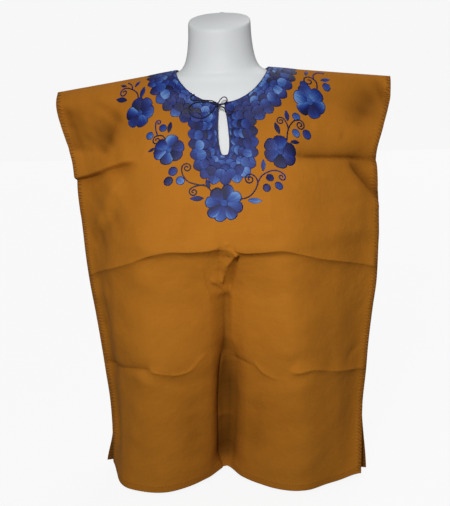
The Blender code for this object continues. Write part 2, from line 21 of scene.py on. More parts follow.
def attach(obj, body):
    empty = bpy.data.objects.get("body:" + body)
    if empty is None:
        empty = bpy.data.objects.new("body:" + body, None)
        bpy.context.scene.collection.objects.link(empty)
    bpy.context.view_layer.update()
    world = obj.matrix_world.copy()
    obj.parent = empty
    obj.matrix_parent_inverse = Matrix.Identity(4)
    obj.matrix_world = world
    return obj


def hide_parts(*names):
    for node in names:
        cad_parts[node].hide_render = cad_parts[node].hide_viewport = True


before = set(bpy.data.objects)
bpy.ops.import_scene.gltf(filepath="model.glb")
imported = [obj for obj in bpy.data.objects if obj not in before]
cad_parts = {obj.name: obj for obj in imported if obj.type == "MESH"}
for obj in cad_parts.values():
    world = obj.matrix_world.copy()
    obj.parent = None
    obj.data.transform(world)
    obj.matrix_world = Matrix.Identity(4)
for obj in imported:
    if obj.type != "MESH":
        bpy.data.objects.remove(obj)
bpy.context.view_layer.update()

log = logging.getLogger("blouse")

ROOT_BODY = "root"
Array = np.ndarray


# Shape of the cloth


def in_metres(sizes: Sequence[Any]) -> tuple[Any, ...]:
    """Sizes written in millimetres, in rows or not, as metres."""
    return tuple(in_metres(size) if isinstance(size, tuple) else size / 1000 for size in sizes)


class Level(NamedTuple):
    """One level section of a panel, from its left edge to its right edge."""

    z: float
    left_x: float
    left_edge: float
    left_side: float
    left_fold_x: float
    left_fold: float
    middle_x: float
    middle: float
    right_fold_x: float
    right_fold: float
    right_side: float
    right_x: float
    right_edge: float


class BackLevel(NamedTuple):
    """One level section of the back panel, whose edges follow the front panel's."""

    z: float
    left_side: float
    left_fold_x: float
    left_fold: float
    middle_x: float
    middle: float
    right_fold_x: float
    right_fold: float
    right_side: float


FRONT_LEVELS = tuple(Level(*in_metres(row)) for row in (
    # z, left x, edge, side, fold x, fold, middle x, middle, fold x, fold, side, right x, edge
    (700, -281, 0, 20, -110, 40, 3, 50, 110, 40, 20, 284, 0),
    (640, -280, 6, 26, -110, 48, 4, 60, 110, 48, 26, 281, 6),
    (600, -270, 14, 42, -110, 68, 6, 78, 110, 68, 42, 270, 14),
    (550, -256, 20, 60, -110, 94, 9, 98, 110, 94, 62, 258, 22),
    (480, -249, 26, 78, -112, 121, 8, 122, 108, 121, 78, 260, 30),
    (424, -245, 30, 96, -115, 140, 2, 137, 104, 140, 96, 260, 36),
    (404, -244, 31, 97, -116, 136, 3, 127, 105, 136, 96, 259, 37),
    (347, -239, 34, 98, -119, 134, 7, 107, 108, 134, 97, 256, 41),
    (290, -232, 35, 101, -122, 142, 6, 104, 114, 142, 100, 248, 45),
    (224, -225, 36, 104, -126, 149, 5, 96, 117, 148, 103, 240, 49),
    (190, -222, 36, 100, -126, 144, 3, 89, 118, 147, 105, 237, 52),
    (120, -217, 34, 102, -124, 145, 0, 79, 119, 145, 108, 229, 61),
    (60, -216, 38, 112, -120, 148, -5, 73, 116, 144, 109, 226, 78),
    (0, -217, 43, 122, -114, 149, -10, 69, 110, 142, 109, 223, 96),
))

BACK_LEVELS = tuple(BackLevel(*in_metres(row)) for row in (
    # z, side, fold x, fold, middle x, middle, fold x, fold, side
    (700, 32, -110, 54, 3, 71, 110, 54, 32),
    (640, 44, -110, 72, 0, 80, 110, 72, 44),
    (600, 46, -110, 78, 0, 86, 110, 78, 46),
    (550, 42, -110, 79, 0, 88, 110, 79, 42),
    (480, 36, -110, 79, 0, 88, 110, 78, 34),
    (420, 34, -110, 83, 0, 88, 110, 81, 32),
    (340, 36, -108, 91, 2, 86, 112, 87, 32),
    (240, 42, -105, 99, 4, 85, 114, 93, 34),
    (130, 50, -102, 107, 6, 85, 116, 98, 36),
    (0, 54, -98, 113, 10, 87, 118, 103, 34),
))


@dataclass(frozen=True)
class ClothCut:
    """Sizes of the blouse that both panels share, in metres."""

    solid_wall: float = 0.0014
    seam_gap: float = 0.0013
    wall: float = 0.0009
    seam_flange: float = 0.0020
    flange_rise: float = 0.0004
    free_reach: float = 0.003
    free_rise: float = 0.008
    valley_shoulder: float = 0.030
    valley_share: float = 0.44
    side_x: float = 0.180
    tip_x: float = 0.2825
    neck_half: float = 0.077
    shoulder_z: float = 0.7010
    left_tip_z: float = 0.672
    right_tip_z: float = 0.679
    fold_y_neck: float = 0.018
    fold_y_tip: float = 0.010
    roll_reach: float = 0.55
    tip_roll: float = 0.030
    neck_roundness: float = 2.1
    neck_squareness: float = 0.75
    slit_bottom: float = 0.565
    slit_top_half: float = 0.0046
    slit_middle_half: float = 0.0096
    slit_bottom_half: float = 0.0036
    slit_start: float = 0.40
    slit_widest: float = 0.68
    slit_relax: float = 0.050
    armhole_bottom: float = 0.460
    armhole_spread: float = 0.030
    armhole_reach: float = 0.110
    left_slit_top: float = 0.078
    right_slit_top: float = 0.125
    left_slit_spread: tuple[float, float] = (-0.014, 0.004)
    right_slit_spread: tuple[float, float] = (0.011, 0.018)
    valley_rise: float = 0.010
    valley_width: float = 0.070
    corner_rise: float = 0.006
    corner_place: float = 0.80
    hem_z: float = 0.006
    side_hem: float = 0.0065
    lower_hem: float = 0.0115
    hem_edge: float = 0.0016
    hem_rise: float = 0.00035
    fold_fade: float = 0.012

    @property
    def neck_place(self) -> float:
        """The place across at which the neck opening starts."""
        return self.neck_half / self.tip_x

    def shoulder_height(self, place: Array) -> Array:
        """Height of the shoulder fold at places across."""
        toward_tip = np.clip((np.abs(place) - self.neck_place) / (1 - self.neck_place), 0, 1)
        tip_z = np.where(np.asarray(place) < 0, self.left_tip_z, self.right_tip_z)
        return self.shoulder_z + (tip_z - self.shoulder_z) * toward_tip

    def shoulder_y(self, place: Array) -> Array:
        """Y of the shoulder fold at places across."""
        toward_tip = np.clip((np.abs(place) - self.neck_place) / (1 - self.neck_place), 0, 1)
        return self.fold_y_neck + (self.fold_y_tip - self.fold_y_neck) * toward_tip

    def slit_half_width(self, fraction: Array) -> Array:
        """Half the keyhole's width at shares of the way from the shoulder, 0, to its foot, 1."""
        share = np.clip((np.asarray(fraction) - self.slit_start) / (1 - self.slit_start), 0, 1)
        opening = np.sin(math.pi / 2 * np.clip(share / self.slit_widest, 0, 1))
        upper = self.slit_top_half + (self.slit_middle_half - self.slit_top_half) * opening
        closing = np.sqrt(1 - np.clip((share - self.slit_widest) / (1 - self.slit_widest), 0, 1) ** 2)
        lower = self.slit_bottom_half + (self.slit_middle_half - self.slit_bottom_half) * closing
        return np.where(share < self.slit_widest, upper, lower)

    def hem_height(self, place: Array) -> Array:
        """Height of the hem, which is higher in the middle valley and at the corners."""
        valley = np.exp(-np.hypot(place * self.tip_x, 0.002) / self.valley_width)
        corner = smooth_step((np.abs(place) - self.corner_place) / (1 - self.corner_place))
        return self.hem_z + self.valley_rise * valley + self.corner_rise * corner


def hermite(knots: Array, values: Array, slopes: Array, places: Array) -> Array:
    """A cubic through knots with given slopes.

    Args:
        knots: Increasing places of the knots.
        values: The curve's values there.
        slopes: The curve's slopes there.
        places: Where to read the curve.

    Returns:
        The curve's values at the places.
    """
    step = np.diff(knots)
    index = np.clip(np.searchsorted(knots, places, side="right") - 1, 0, len(step) - 1)
    t = (places - knots[index]) / step[index]
    start = (1 + 2 * t) * (1 - t) ** 2 * values[index]
    leave = t * (1 - t) ** 2 * step[index] * slopes[index]
    end = t * t * (3 - 2 * t) * values[index + 1]
    arrive = t * t * (t - 1) * step[index] * slopes[index + 1]
    return start + leave + end + arrive


def smooth_curve(knots: Array, values: Array, places: Array) -> Array:
    """A curve whose slope at a knot follows its neighbours."""
    return hermite(knots, values, np.gradient(values, knots), places)


def steady_curve(knots: Array, values: Array, places: Array) -> Array:
    """A curve that never swings past its knots.

    Args:
        knots: Increasing places of the knots.
        values: The curve's values there.
        places: Where to read the curve; places outside the knots read its ends.

    Returns:
        The curve's values at the places.
    """
    step = np.diff(knots)
    rise = np.diff(values) / step
    slopes = np.zeros_like(values)
    before = 2 * step[1:] + step[:-1]
    after = step[1:] + 2 * step[:-1]
    same = rise[:-1] * rise[1:] > 0
    blend = before[same] / rise[:-1][same] + after[same] / rise[1:][same]
    slopes[1:-1][same] = (before + after)[same] / blend
    slopes[0] = rise[0]
    slopes[-1] = rise[-1]
    return hermite(knots, values, slopes, np.clip(places, knots[0], knots[-1]))


def smooth_step(value: Array) -> Array:
    """0 below 0, 1 above 1, and smooth between."""
    value = np.clip(value, 0.0, 1.0)
    return value * value * (3 - 2 * value)


def run_along(points: Array) -> Array:
    """Distance along a line at each of its points."""
    return np.concatenate([[0.0], np.cumsum(np.linalg.norm(np.diff(points, axis=0), axis=1))])


def smooth_line(points: Sequence[Sequence[float]] | Array, count: int) -> Array:
    """Evenly spaced points on a smooth line through the given ones.

    Args:
        points: The line's own points, in two or three dimensions.
        count: How many points to return.

    Returns:
        The points of the smooth line.
    """
    table = np.array(points, dtype=float)
    knots = run_along(table)
    if len(table) == 2:
        places = np.linspace(0.0, knots[-1], count)
        return np.stack([np.interp(places, knots, column) for column in table.T], axis=1)
    fine = np.linspace(0.0, knots[-1], 8 * count)
    dense = np.stack([smooth_curve(knots, column, fine) for column in table.T], axis=1)
    length = run_along(dense)
    wanted = np.linspace(0.0, length[-1], count)
    return np.stack([np.interp(wanted, length, column) for column in dense.T], axis=1)


def unit(vectors: Array) -> Array:
    """The vectors, each a metre long."""
    return vectors / np.maximum(np.linalg.norm(vectors, axis=-1, keepdims=True), 1e-12)


@dataclass(frozen=True)
class Crease:
    """A line along which the cloth was folded or pinched.

    The path is given as metres across and height. Looking along it, its left side is the near
    one: on a path drawn from left to right that is the side above it. A positive rise is a
    ridge and a negative one is a trough.
    """

    path: tuple[tuple[float, float], ...]
    rise: float
    near: float
    far: float
    crest: float = 0.0005
    start: float = 0.15
    end: float = 0.15
    unevenness: float = 0.16
    samples: int = 36
    widths: float = 5.0

    def relief(self, across: Array, height: Array) -> Array:
        """How far the crease lifts the cloth at places given by metres across and height."""
        line = smooth_line(self.path, self.samples)
        lift = np.zeros_like(across)
        reach = self.widths * max(self.near, self.far)
        low = line.min(axis=0) - reach
        high = line.max(axis=0) + reach
        inside = (across > low[0]) & (across < high[0]) & (height > low[1]) & (height < high[1])
        spots = np.stack([across[inside], height[inside]], axis=-1)
        if not len(spots):
            return lift
        best = np.full(len(spots), np.inf)
        side = np.zeros(len(spots))
        share = np.zeros(len(spots))
        for k in range(len(line) - 1):
            span = line[k + 1] - line[k]
            offset = spots - line[k]
            t = np.clip(offset @ span / (span @ span), 0.0, 1.0)
            gap = offset - t[:, None] * span
            distance = np.hypot(gap[:, 0], gap[:, 1])
            closer = distance < best
            best = np.where(closer, distance, best)
            side = np.where(closer, span[0] * gap[:, 1] - span[1] * gap[:, 0], side)
            share = np.where(closer, (k + t) / (len(line) - 1), share)
        width = np.where(side > 0, self.near, self.far)
        profile = np.exp(-(np.hypot(best, self.crest) - self.crest) / width)
        fade = smooth_step(share / self.start) if self.start else np.ones_like(share)
        if self.end:
            fade = fade * smooth_step((1 - share) / self.end)
        seed = 40.0 * (self.path[0][0] + 2.3 * self.path[0][1])
        wander = 1 + self.unevenness * (np.sin(11 * share + seed) + 0.6 * np.sin(27 * share + 2 * seed))
        lift[inside] = self.rise * profile * fade * wander
        return lift


def creases(*rows: tuple[Any, ...]) -> tuple[Crease, ...]:
    """The creases of a panel.

    Args:
        rows: Each a path, rise, near and far width, and crest in millimetres, then the shares of
            the path that its start and its end take to fade, and its unevenness.

    Returns:
        The creases.
    """
    return tuple(Crease(*in_metres(row[:5]), *row[5:]) for row in rows)


FRONT_CREASES = creases(
    # Lines of the folded parcel at the sleeves
    (((-283.5, 527.5), (-259, 532), (-223, 541), (-183, 553), (-157, 558), (-138, 560)), 6.4, 22, 7, 0.5, 0,
     0.25, 0.08),
    (((-283.5, 523.5), (-259, 528), (-223, 537), (-183, 549), (-157, 554), (-138, 556)), -9.6, 2.2, 10, 0.5, 0,
     0.3, 0.08),
    (((-138, 563), (-132, 572), (-124, 584)), 1.4, 3, 3, 0.3),
    (((116, 562), (133, 561), (152, 559), (195, 555), (238, 550), (270, 545), (283.5, 543)), -7.2, 14, 6, 0.5,
     0.1, 0, 0.08),
    (((133, 561), (152, 559), (195, 555), (238, 550), (270, 545)), -3, 3.2, 1.4, 0.2, 0.1, 0.2, 0),
    (((223, 548), (243, 529), (264, 506), (283.5, 483)), -12, 9, 6, 1.2, 0.4, 0, 0),
    (((148, 605), (174, 598), (196, 590), (210, 584)), 3, 5.5, 3.4, 0.4),
    (((127, 518), (165, 521), (206, 524)), 1.4, 8, 3, 0.5, 0.3, 0.4),
    # The line across the bust
    (((-283.5, 359), (-235, 374), (-178, 390), (-143, 402), (-116, 414), (-88, 420), (-50, 419.5), (-12, 423),
     (4, 428)), 5.8, 17, 6.5, 0.4, 0, 0.06, 0.08),
    (((14, 421), (30, 417), (60, 417), (95, 418), (120, 410), (153, 398), (186, 390), (229, 379), (283.5, 365)),
     6, 18, 6.5, 0.4, 0.04, 0, 0.08),
    # The pinch in the middle of it
    (((-5, 422), (-8, 392), (-12, 363)), -2.6, 2.2, 3.6, 0.2, 0.1, 0.3),
    (((1, 432), (0, 421)), -1.4, 1.5, 1.5, 0.2),
    (((5, 434), (8, 419), (3, 396)), 2.4, 4, 3, 0.5, 0.2, 0.5),
    (((9, 427), (6, 410), (4, 393)), -2.2, 1.8, 1.8, 0.2, 0.1, 0.4),
    (((24, 416), (14, 403), (3, 390), (-6, 373), (-12, 356)), 7, 4.2, 9.5, 0.3, 0.08, 0.15, 0),
    (((26, 414), (19, 396), (10, 372), (2, 348), (-1, 338)), -6, 2.6, 6, 0.3, 0.15, 0.1, 0),
    (((-31, 367), (-19, 360), (-10, 352), (-1, 341)), 4.6, 6.5, 2.4, 0.2, 0.2, 0.08, 0),
    (((-40, 397), (-38, 382), (-36, 359), (-30, 327)), 2, 1.8, 5.5, 0.2),
    # The middle valley and the flat strip in its foot
    (((-1, 346), (-2, 308), (-3, 259), (-5, 228)), -8.5, 3.2, 18, 0.4, 0.12, 0.25, 0),
    (((-1, 344), (-2, 308), (-3, 259), (-4, 225)), -4.6, 1.5, 1.5, 0.2, 0.08, 0.12, 0),
    (((-4, 262), (-7, 240), (-11, 215), (-12, 178), (-14, 133), (-13, 100), (-10, 63), (-7, 30), (-5, 10)),
     -7.4, 8, 18, 0.3, 0.15, 0.14, 0),
    (((-3, 262), (-3, 236), (-3, 207), (-1, 174), (1, 129), (1, 94), (0, 52), (-1, 30), (-1, 10)), -7.4, 14, 6,
     0.3, 0.15, 0.14, 0),
    (((-8, 238), (-11, 215), (-12, 178), (-14, 133), (-13, 100), (-10, 63), (-7, 30), (-5, 10)), -2.6, 1.4, 1.4,
     0.2, 0.1, 0, 0),
    (((-3, 236), (-3, 207), (-1, 174), (1, 129), (1, 94), (0, 52), (-1, 30), (-1, 10)), -2.6, 1.4, 1.4, 0.2,
     0.1, 0, 0),
    (((-6, 230), (-7, 178), (-7, 115), (-4, 50), (-3, 8)), -6.4, 8, 8, 3, 0.25, 0.2, 0),
    (((-14, 120), (-6, 116), (1, 117)), 2.4, 2, 5, 0.3),
    # Lines of the parcel below the waist
    (((-283.5, 197), (-205, 213), (-162, 222), (-126, 226)), -5, 11, 9, 0.5, 0, 0.12),
    (((-43, 246), (-58, 232), (-75, 218), (-96, 215), (-120, 220), (-138, 224)), 2, 5, 2.2, 0.2),
    (((-134, 231), (-130, 224), (-124, 219)), 1.4, 3, 3),
    (((-120, 230), (-115, 224), (-108, 221)), 1.2, 3, 3),
    (((3, 225.5), (28, 224.5), (52, 219.5)), -2.6, 4, 7, 0.3, 0.1, 0.3),
    (((45, 235), (67, 214), (89, 205), (114, 204)), 2, 4, 2.6, 0.3, 0.2, 0.5),
    (((112, 223), (122, 218), (146, 219), (190, 207), (231, 198), (283.5, 189)), 5.2, 13, 7, 0.5, 0.06, 0),
    (((224, 213), (250, 224), (276, 239)), -1.5, 8, 6, 0.5, 0.3, 0.3),
    # Soft ridges and hollows of the sleeves and the chest
    (((-279, 652), (-224, 656), (-174, 651)), 6.2, 14, 32, 6, 0, 0.3),
    (((-270, 594), (-215, 600), (-180, 610)), -3.2, 30, 24, 8, 0.1, 0.3),
    (((-264, 648), (-269, 605), (-273, 565)), -7, 22, 8, 3, 0.2, 0.2),
    (((-174, 642), (-200, 602), (-226, 566)), -8.5, 12, 30, 4, 0.2, 0.2),
    (((-166, 530), (-191, 511), (-219, 471), (-238, 450), (-265, 426)), 8.5, 14, 22, 4, 0.25, 0.3),
    (((-174, 492), (-202, 466), (-235, 437), (-270, 413)), -6.5, 22, 12, 4, 0.3, 0.3),
    (((279, 655), (252, 640), (232, 590)), -8, 22, 30, 8, 0.1, 0.4),
    (((-72, 525), (-70, 476), (-68, 434)), 4.6, 14, 18, 4, 0.3, 0.25),
    (((73, 535), (71, 476), (72, 430)), 6, 14, 22, 4, 0.2, 0.2),
    (((236, 540), (242, 475), (238, 405)), 5, 26, 55, 6, 0.25, 0.2),
    # Soft ridges and hollows below them
    (((-117, 411), (-153, 345), (-194, 280), (-262, 205)), 5, 30, 24, 10, 0.2, 0.3),
    (((-136, 221), (-159, 167), (-174, 110), (-190, 8)), 5, 30, 22, 10, 0.1, 0),
    (((98, 412), (106, 319), (115, 228)), 3.4, 26, 30, 9, 0.1, 0.15),
    (((124, 216), (140, 140), (165, 60), (176, 8)), 4.4, 24, 30, 9, 0.15, 0),
    (((-210, 340), (-250, 330), (-275, 322)), 3.4, 18, 14, 6, 0.4, 0),
    (((-225, 290), (-255, 276), (-278, 270)), -2.6, 14, 14, 6, 0.4, 0),
    (((215, 330), (245, 318), (276, 300)), 2.6, 18, 16, 6, 0.4, 0),
    (((60, 180), (64, 120), (56, 50)), -2.6, 20, 22, 10, 0.3, 0.2),
    (((-78, 185), (-70, 120), (-78, 40)), -2.4, 22, 20, 10, 0.3, 0.2),
)

BACK_CREASES = creases(
    (((-283.5, 546), (-210, 556), (-130, 563), (-52, 560)), 2.6, 10, 9, 0.5, 0, 0.4),
    (((64, 556), (140, 561), (210, 552), (283.5, 545)), 3, 11, 9, 0.5, 0.3, 0),
    (((-283.5, 392), (-216, 400), (-140, 414), (-62, 410), (-8, 414)), -3, 11, 12, 0.5, 0, 0.12),
    (((6, 411), (78, 417), (150, 405), (226, 396), (283.5, 386)), -3.4, 12, 11, 0.5, 0.1, 0),
    (((-283.5, 214), (-190, 222), (-104, 216), (-20, 224)), 2.8, 11, 9, 0.5, 0, 0.25),
    (((24, 219), (96, 226), (180, 214), (283.5, 207)), 3, 10, 9, 0.5, 0.2, 0),
    (((2, 640), (0, 540), (3, 470), (1, 424)), 2, 9, 10, 0.5, 0.3, 0.1),
    (((3, 404), (4, 320), (6, 236)), 2.4, 9, 10, 0.5, 0.1, 0.1),
    (((7, 214), (8, 120), (10, 12)), 2.2, 10, 11, 0.5, 0.1, 0),
    (((-144, 648), (-138, 560), (-140, 430)), -1.6, 10, 10, 0.5, 0.3, 0.2),
    (((140, 398), (146, 300), (142, 232)), -1.8, 10, 9, 0.5, 0.2, 0.2),
    (((210, 598), (176, 530), (112, 458)), 4, 22, 28, 10, 0.3, 0.3),
    (((-52, 340), (-60, 220), (-48, 60)), -4, 24, 26, 10, 0.3, 0.1),
    (((58, 352), (66, 210), (60, 40)), -3.8, 26, 24, 10, 0.3, 0.1),
    (((-190, 350), (-186, 240), (-196, 100)), -3.2, 24, 24, 10, 0.3, 0.2),
    (((196, 340), (186, 220), (200, 80)), -3.4, 24, 24, 10, 0.3, 0.2),
    (((20, 612), (36, 592), (60, 584)), 1.2, 4, 4),
    (((-90, 300), (-74, 290), (-52, 292)), 1.2, 4, 4),
)


class Side(Enum):
    """The two panels of the blouse; the value is the way the panel faces along Y."""

    FRONT = -1
    BACK = 1


@dataclass
class Drape:
    """The outer face of one panel as it hangs."""

    side: Side
    cut: ClothCut
    roll: float
    neck_drop: float
    creases: tuple[Crease, ...]
    columns: int = 241
    rows: int = 361
    nudge: float = 0.0008
    heights: Array = field(init=False)
    x: Array = field(init=False)
    depth: Array = field(init=False)

    def __post_init__(self) -> None:
        """Work out the level sections that the face is read from."""
        self.heights = np.linspace(FRONT_LEVELS[-1].z, FRONT_LEVELS[0].z, self.rows)
        front = self.follow(FRONT_LEVELS, self.heights)
        levels = front if self.side is Side.FRONT else self.back_levels(front)
        free = smooth_step((self.cut.left_slit_top - self.heights) / self.cut.left_slit_top)
        free = free * (self.side is Side.FRONT)
        sections = [self.section({name: levels[name][k] for name in levels}, free[k]) for k in range(self.rows)]
        self.x = np.array([section[0] for section in sections])
        self.depth = np.array([section[1] for section in sections])

    @staticmethod
    def follow(table: Sequence[tuple[float, ...]], heights: Array) -> dict[str, Array]:
        """Each column of a table of levels, read at the heights."""
        rows = np.array(table)[::-1]
        names = table[0]._fields
        return {names[k]: steady_curve(rows[:, 0], rows[:, k], heights) for k in range(1, len(names))}

    def back_levels(self, front: dict[str, Array]) -> dict[str, Array]:
        """The back panel's sections, with its edges against the front panel's where sewn."""
        cut = self.cut
        levels = self.follow(BACK_LEVELS, self.heights)
        seam = 2 * cut.solid_wall + cut.seam_gap
        armhole = cut.armhole_spread * smooth_step((self.heights - cut.armhole_bottom) / cut.armhole_reach)
        left = smooth_step((cut.left_slit_top - self.heights) / cut.left_slit_top)
        right = smooth_step((cut.right_slit_top - self.heights) / cut.right_slit_top)
        levels["left_x"] = front["left_x"] + cut.left_slit_spread[0] * left
        levels["right_x"] = front["right_x"] + cut.right_slit_spread[0] * right
        levels["left_edge"] = seam - front["left_edge"] + armhole + cut.left_slit_spread[1] * left
        levels["right_edge"] = seam - front["right_edge"] + armhole + cut.right_slit_spread[1] * right
        return levels

    def section(self, level: dict[str, float], free_left: float) -> tuple[Array, Array]:
        """X and depth of one level section at evenly spaced places.

        Args:
            level: The named sizes of the section.
            free_left: 0 where the left edge is sewn flat, 1 where it hangs free.

        Returns:
            X and depth at places from -1 to 1, the middle line at 0.
        """
        cut = self.cut
        reach = cut.seam_flange + (cut.free_reach - cut.seam_flange) * free_left
        rise = cut.flange_rise + (cut.free_rise - cut.flange_rise) * free_left
        middle = level["middle"]
        left_rise, right_rise = ((level[name] - middle) * cut.valley_share for name in ("left_fold", "right_fold"))
        corners = (
            (level["left_x"], level["left_edge"]),
            (level["left_x"] + reach, level["left_edge"] + rise),
            (-cut.side_x, level["left_side"]),
            (level["left_fold_x"], level["left_fold"]),
            (level["middle_x"] - cut.valley_shoulder, middle + left_rise),
            (level["middle_x"], middle),
            (level["middle_x"] + cut.valley_shoulder, middle + right_rise),
            (level["right_fold_x"], level["right_fold"]),
            (cut.side_x, level["right_side"]),
            (level["right_x"] - cut.seam_flange, level["right_edge"] + cut.flange_rise),
            (level["right_x"], level["right_edge"]),
        )
        across, depth = np.array(corners).T
        knots = np.concatenate([[0.0], np.cumsum(np.hypot(np.diff(across), np.diff(depth)))])
        fine = np.linspace(0.0, knots[-1], 4 * self.columns)
        x = smooth_curve(knots, across, fine)
        y = smooth_curve(knots, depth, fine)
        cloth = np.concatenate([[0.0], np.cumsum(np.hypot(np.diff(x), np.diff(y)))])
        left = np.interp(knots[len(corners) // 2], fine, cloth)
        place = np.linspace(-1.0, 1.0, self.columns)
        wanted = np.where(place < 0, left * (1 + place), left + (cloth[-1] - left) * place)
        return np.interp(wanted, cloth, x), np.interp(wanted, cloth, y)

    def read(self, grid: Array, place: Array, height: Array) -> Array:
        """A grid's values at places across and heights, between its samples."""
        column = np.clip((place + 1) / 2 * (self.columns - 1), 0, self.columns - 1)
        row = np.clip(height / self.heights[-1] * (self.rows - 1), 0, self.rows - 1)
        i = np.minimum(row.astype(int), self.rows - 2)
        j = np.minimum(column.astype(int), self.columns - 2)
        low = grid[i, j] + (grid[i, j + 1] - grid[i, j]) * (column - j)
        high = grid[i + 1, j] + (grid[i + 1, j + 1] - grid[i + 1, j]) * (column - j)
        return low + (high - low) * (row - i)

    def smooth_face(self, place: Array, height: Array) -> Array:
        """Points of the face without its creases."""
        facing = self.side.value
        place = np.asarray(place, dtype=float)
        height = np.asarray(height, dtype=float)
        start = facing * self.cut.shoulder_y(place)
        toward_tip = smooth_step((np.abs(place) - self.cut.neck_place) / self.cut.roll_reach)
        roll = self.roll + (self.cut.tip_roll - self.roll) * toward_tip
        down = np.clip((self.cut.shoulder_height(place) - height) / roll, 0.0, 1.0)
        turn = np.sqrt(1.0 - (1.0 - down) ** 2)
        depth = start + (self.read(self.depth, place, height) - start) * turn
        return np.stack([self.read(self.x, place, height), facing * depth, height], axis=-1)

    def normals(self, place: Array, height: Array) -> Array:
        """Directions straight out of the cloth."""
        step = self.nudge
        right = self.smooth_face(np.minimum(place + step, 1.0), height)
        left = self.smooth_face(np.maximum(place - step, -1.0), height)
        below = self.smooth_face(place, np.maximum(height - step, 0.0))
        above = self.smooth_face(place, np.maximum(height, step))
        out = unit(np.cross(below - above, right - left))
        wrong = np.where(out[..., 2] > 0.9, 1.0, np.sign(out[..., 1] * self.side.value))
        return out * wrong[..., None]

    def seam(self, place: Array, height: Array) -> Array:
        """1 at a sewn side edge and 0 away from it."""
        cut = self.cut
        slit_top = np.where(np.asarray(place) < 0, cut.left_slit_top, cut.right_slit_top)
        lower = smooth_step((height - slit_top + 0.006) / 0.010)
        upper = smooth_step((cut.armhole_bottom + 0.008 - height) / 0.010)
        return lower * upper * smooth_step(1 - (1 - np.abs(place)) * cut.tip_x / 0.011)

    def relief(self, place: Array, height: Array) -> Array:
        """How far creases, ripples and the turned hems lift the face."""
        across = place * self.cut.tip_x
        lift = sum(crease.relief(across, height) for crease in self.creases)
        lift = lift + self.ripples(across, height)
        fold = smooth_step((self.cut.shoulder_height(place) - height) / self.cut.fold_fade)
        lift = lift * fold * (1 - self.seam(place, height))
        return lift + self.cut.hem_rise * self.hem(place, height) * fold

    def hem_line(self, place: Array) -> Array:
        """Height of the top of the turned hem."""
        return self.cut.hem_height(place) + self.cut.lower_hem

    def hem(self, place: Array, height: Array) -> Array:
        """1 on the turned hems of the sides and the lower edge, 0 elsewhere."""
        edge = (1 - np.abs(place)) * self.cut.tip_x
        side = smooth_step((self.cut.side_hem - edge) / self.cut.hem_edge)
        return np.maximum(side, smooth_step((self.hem_line(place) - height) / self.cut.hem_edge))

    def ripples(self, across: Array, height: Array) -> Array:
        """Faint waves that no two places share."""
        facing = self.side.value
        waves = (
            (0.00028, 61.0, 23.0, 0.4),
            (0.00022, -34.0, 58.0, 1.9),
            (0.00015, 92.0, -71.0, 3.1),
            (0.00012, 24.0, 121.0, 5.2),
            (0.00007, 170.0, 96.0, 0.9),
            (0.00006, -140.0, 190.0, 2.6),
        )
        return sum(size * np.sin(a * across + b * height + turn * (2 + facing)) for size, a, b, turn in waves)

    def face(self, place: Array, height: Array, lift: Array | float = 0.0) -> Array:
        """Points on the creased face, lifted off it by the given distances."""
        place = np.asarray(place, dtype=float)
        height = np.asarray(height, dtype=float)
        points = self.smooth_face(place, height)
        out = self.normals(place, height)
        rise = self.relief(place, height) + lift
        closing = (2 * self.cut.solid_wall + self.cut.seam_gap) / 2 - self.cut.wall
        points = points + out * rise[..., None]
        points[..., 1] -= self.side.value * closing * self.seam(place, height)
        return points

    def neckline(self, place: Array, side_drop: float) -> Array:
        """Height of the neckline at places across."""
        ratio = np.minimum(np.abs(place) / self.cut.neck_place, 1.0)
        bow = (1.0 - ratio ** self.cut.neck_roundness) ** self.cut.neck_squareness
        return self.cut.shoulder_z - side_drop - (self.neck_drop - side_drop) * bow


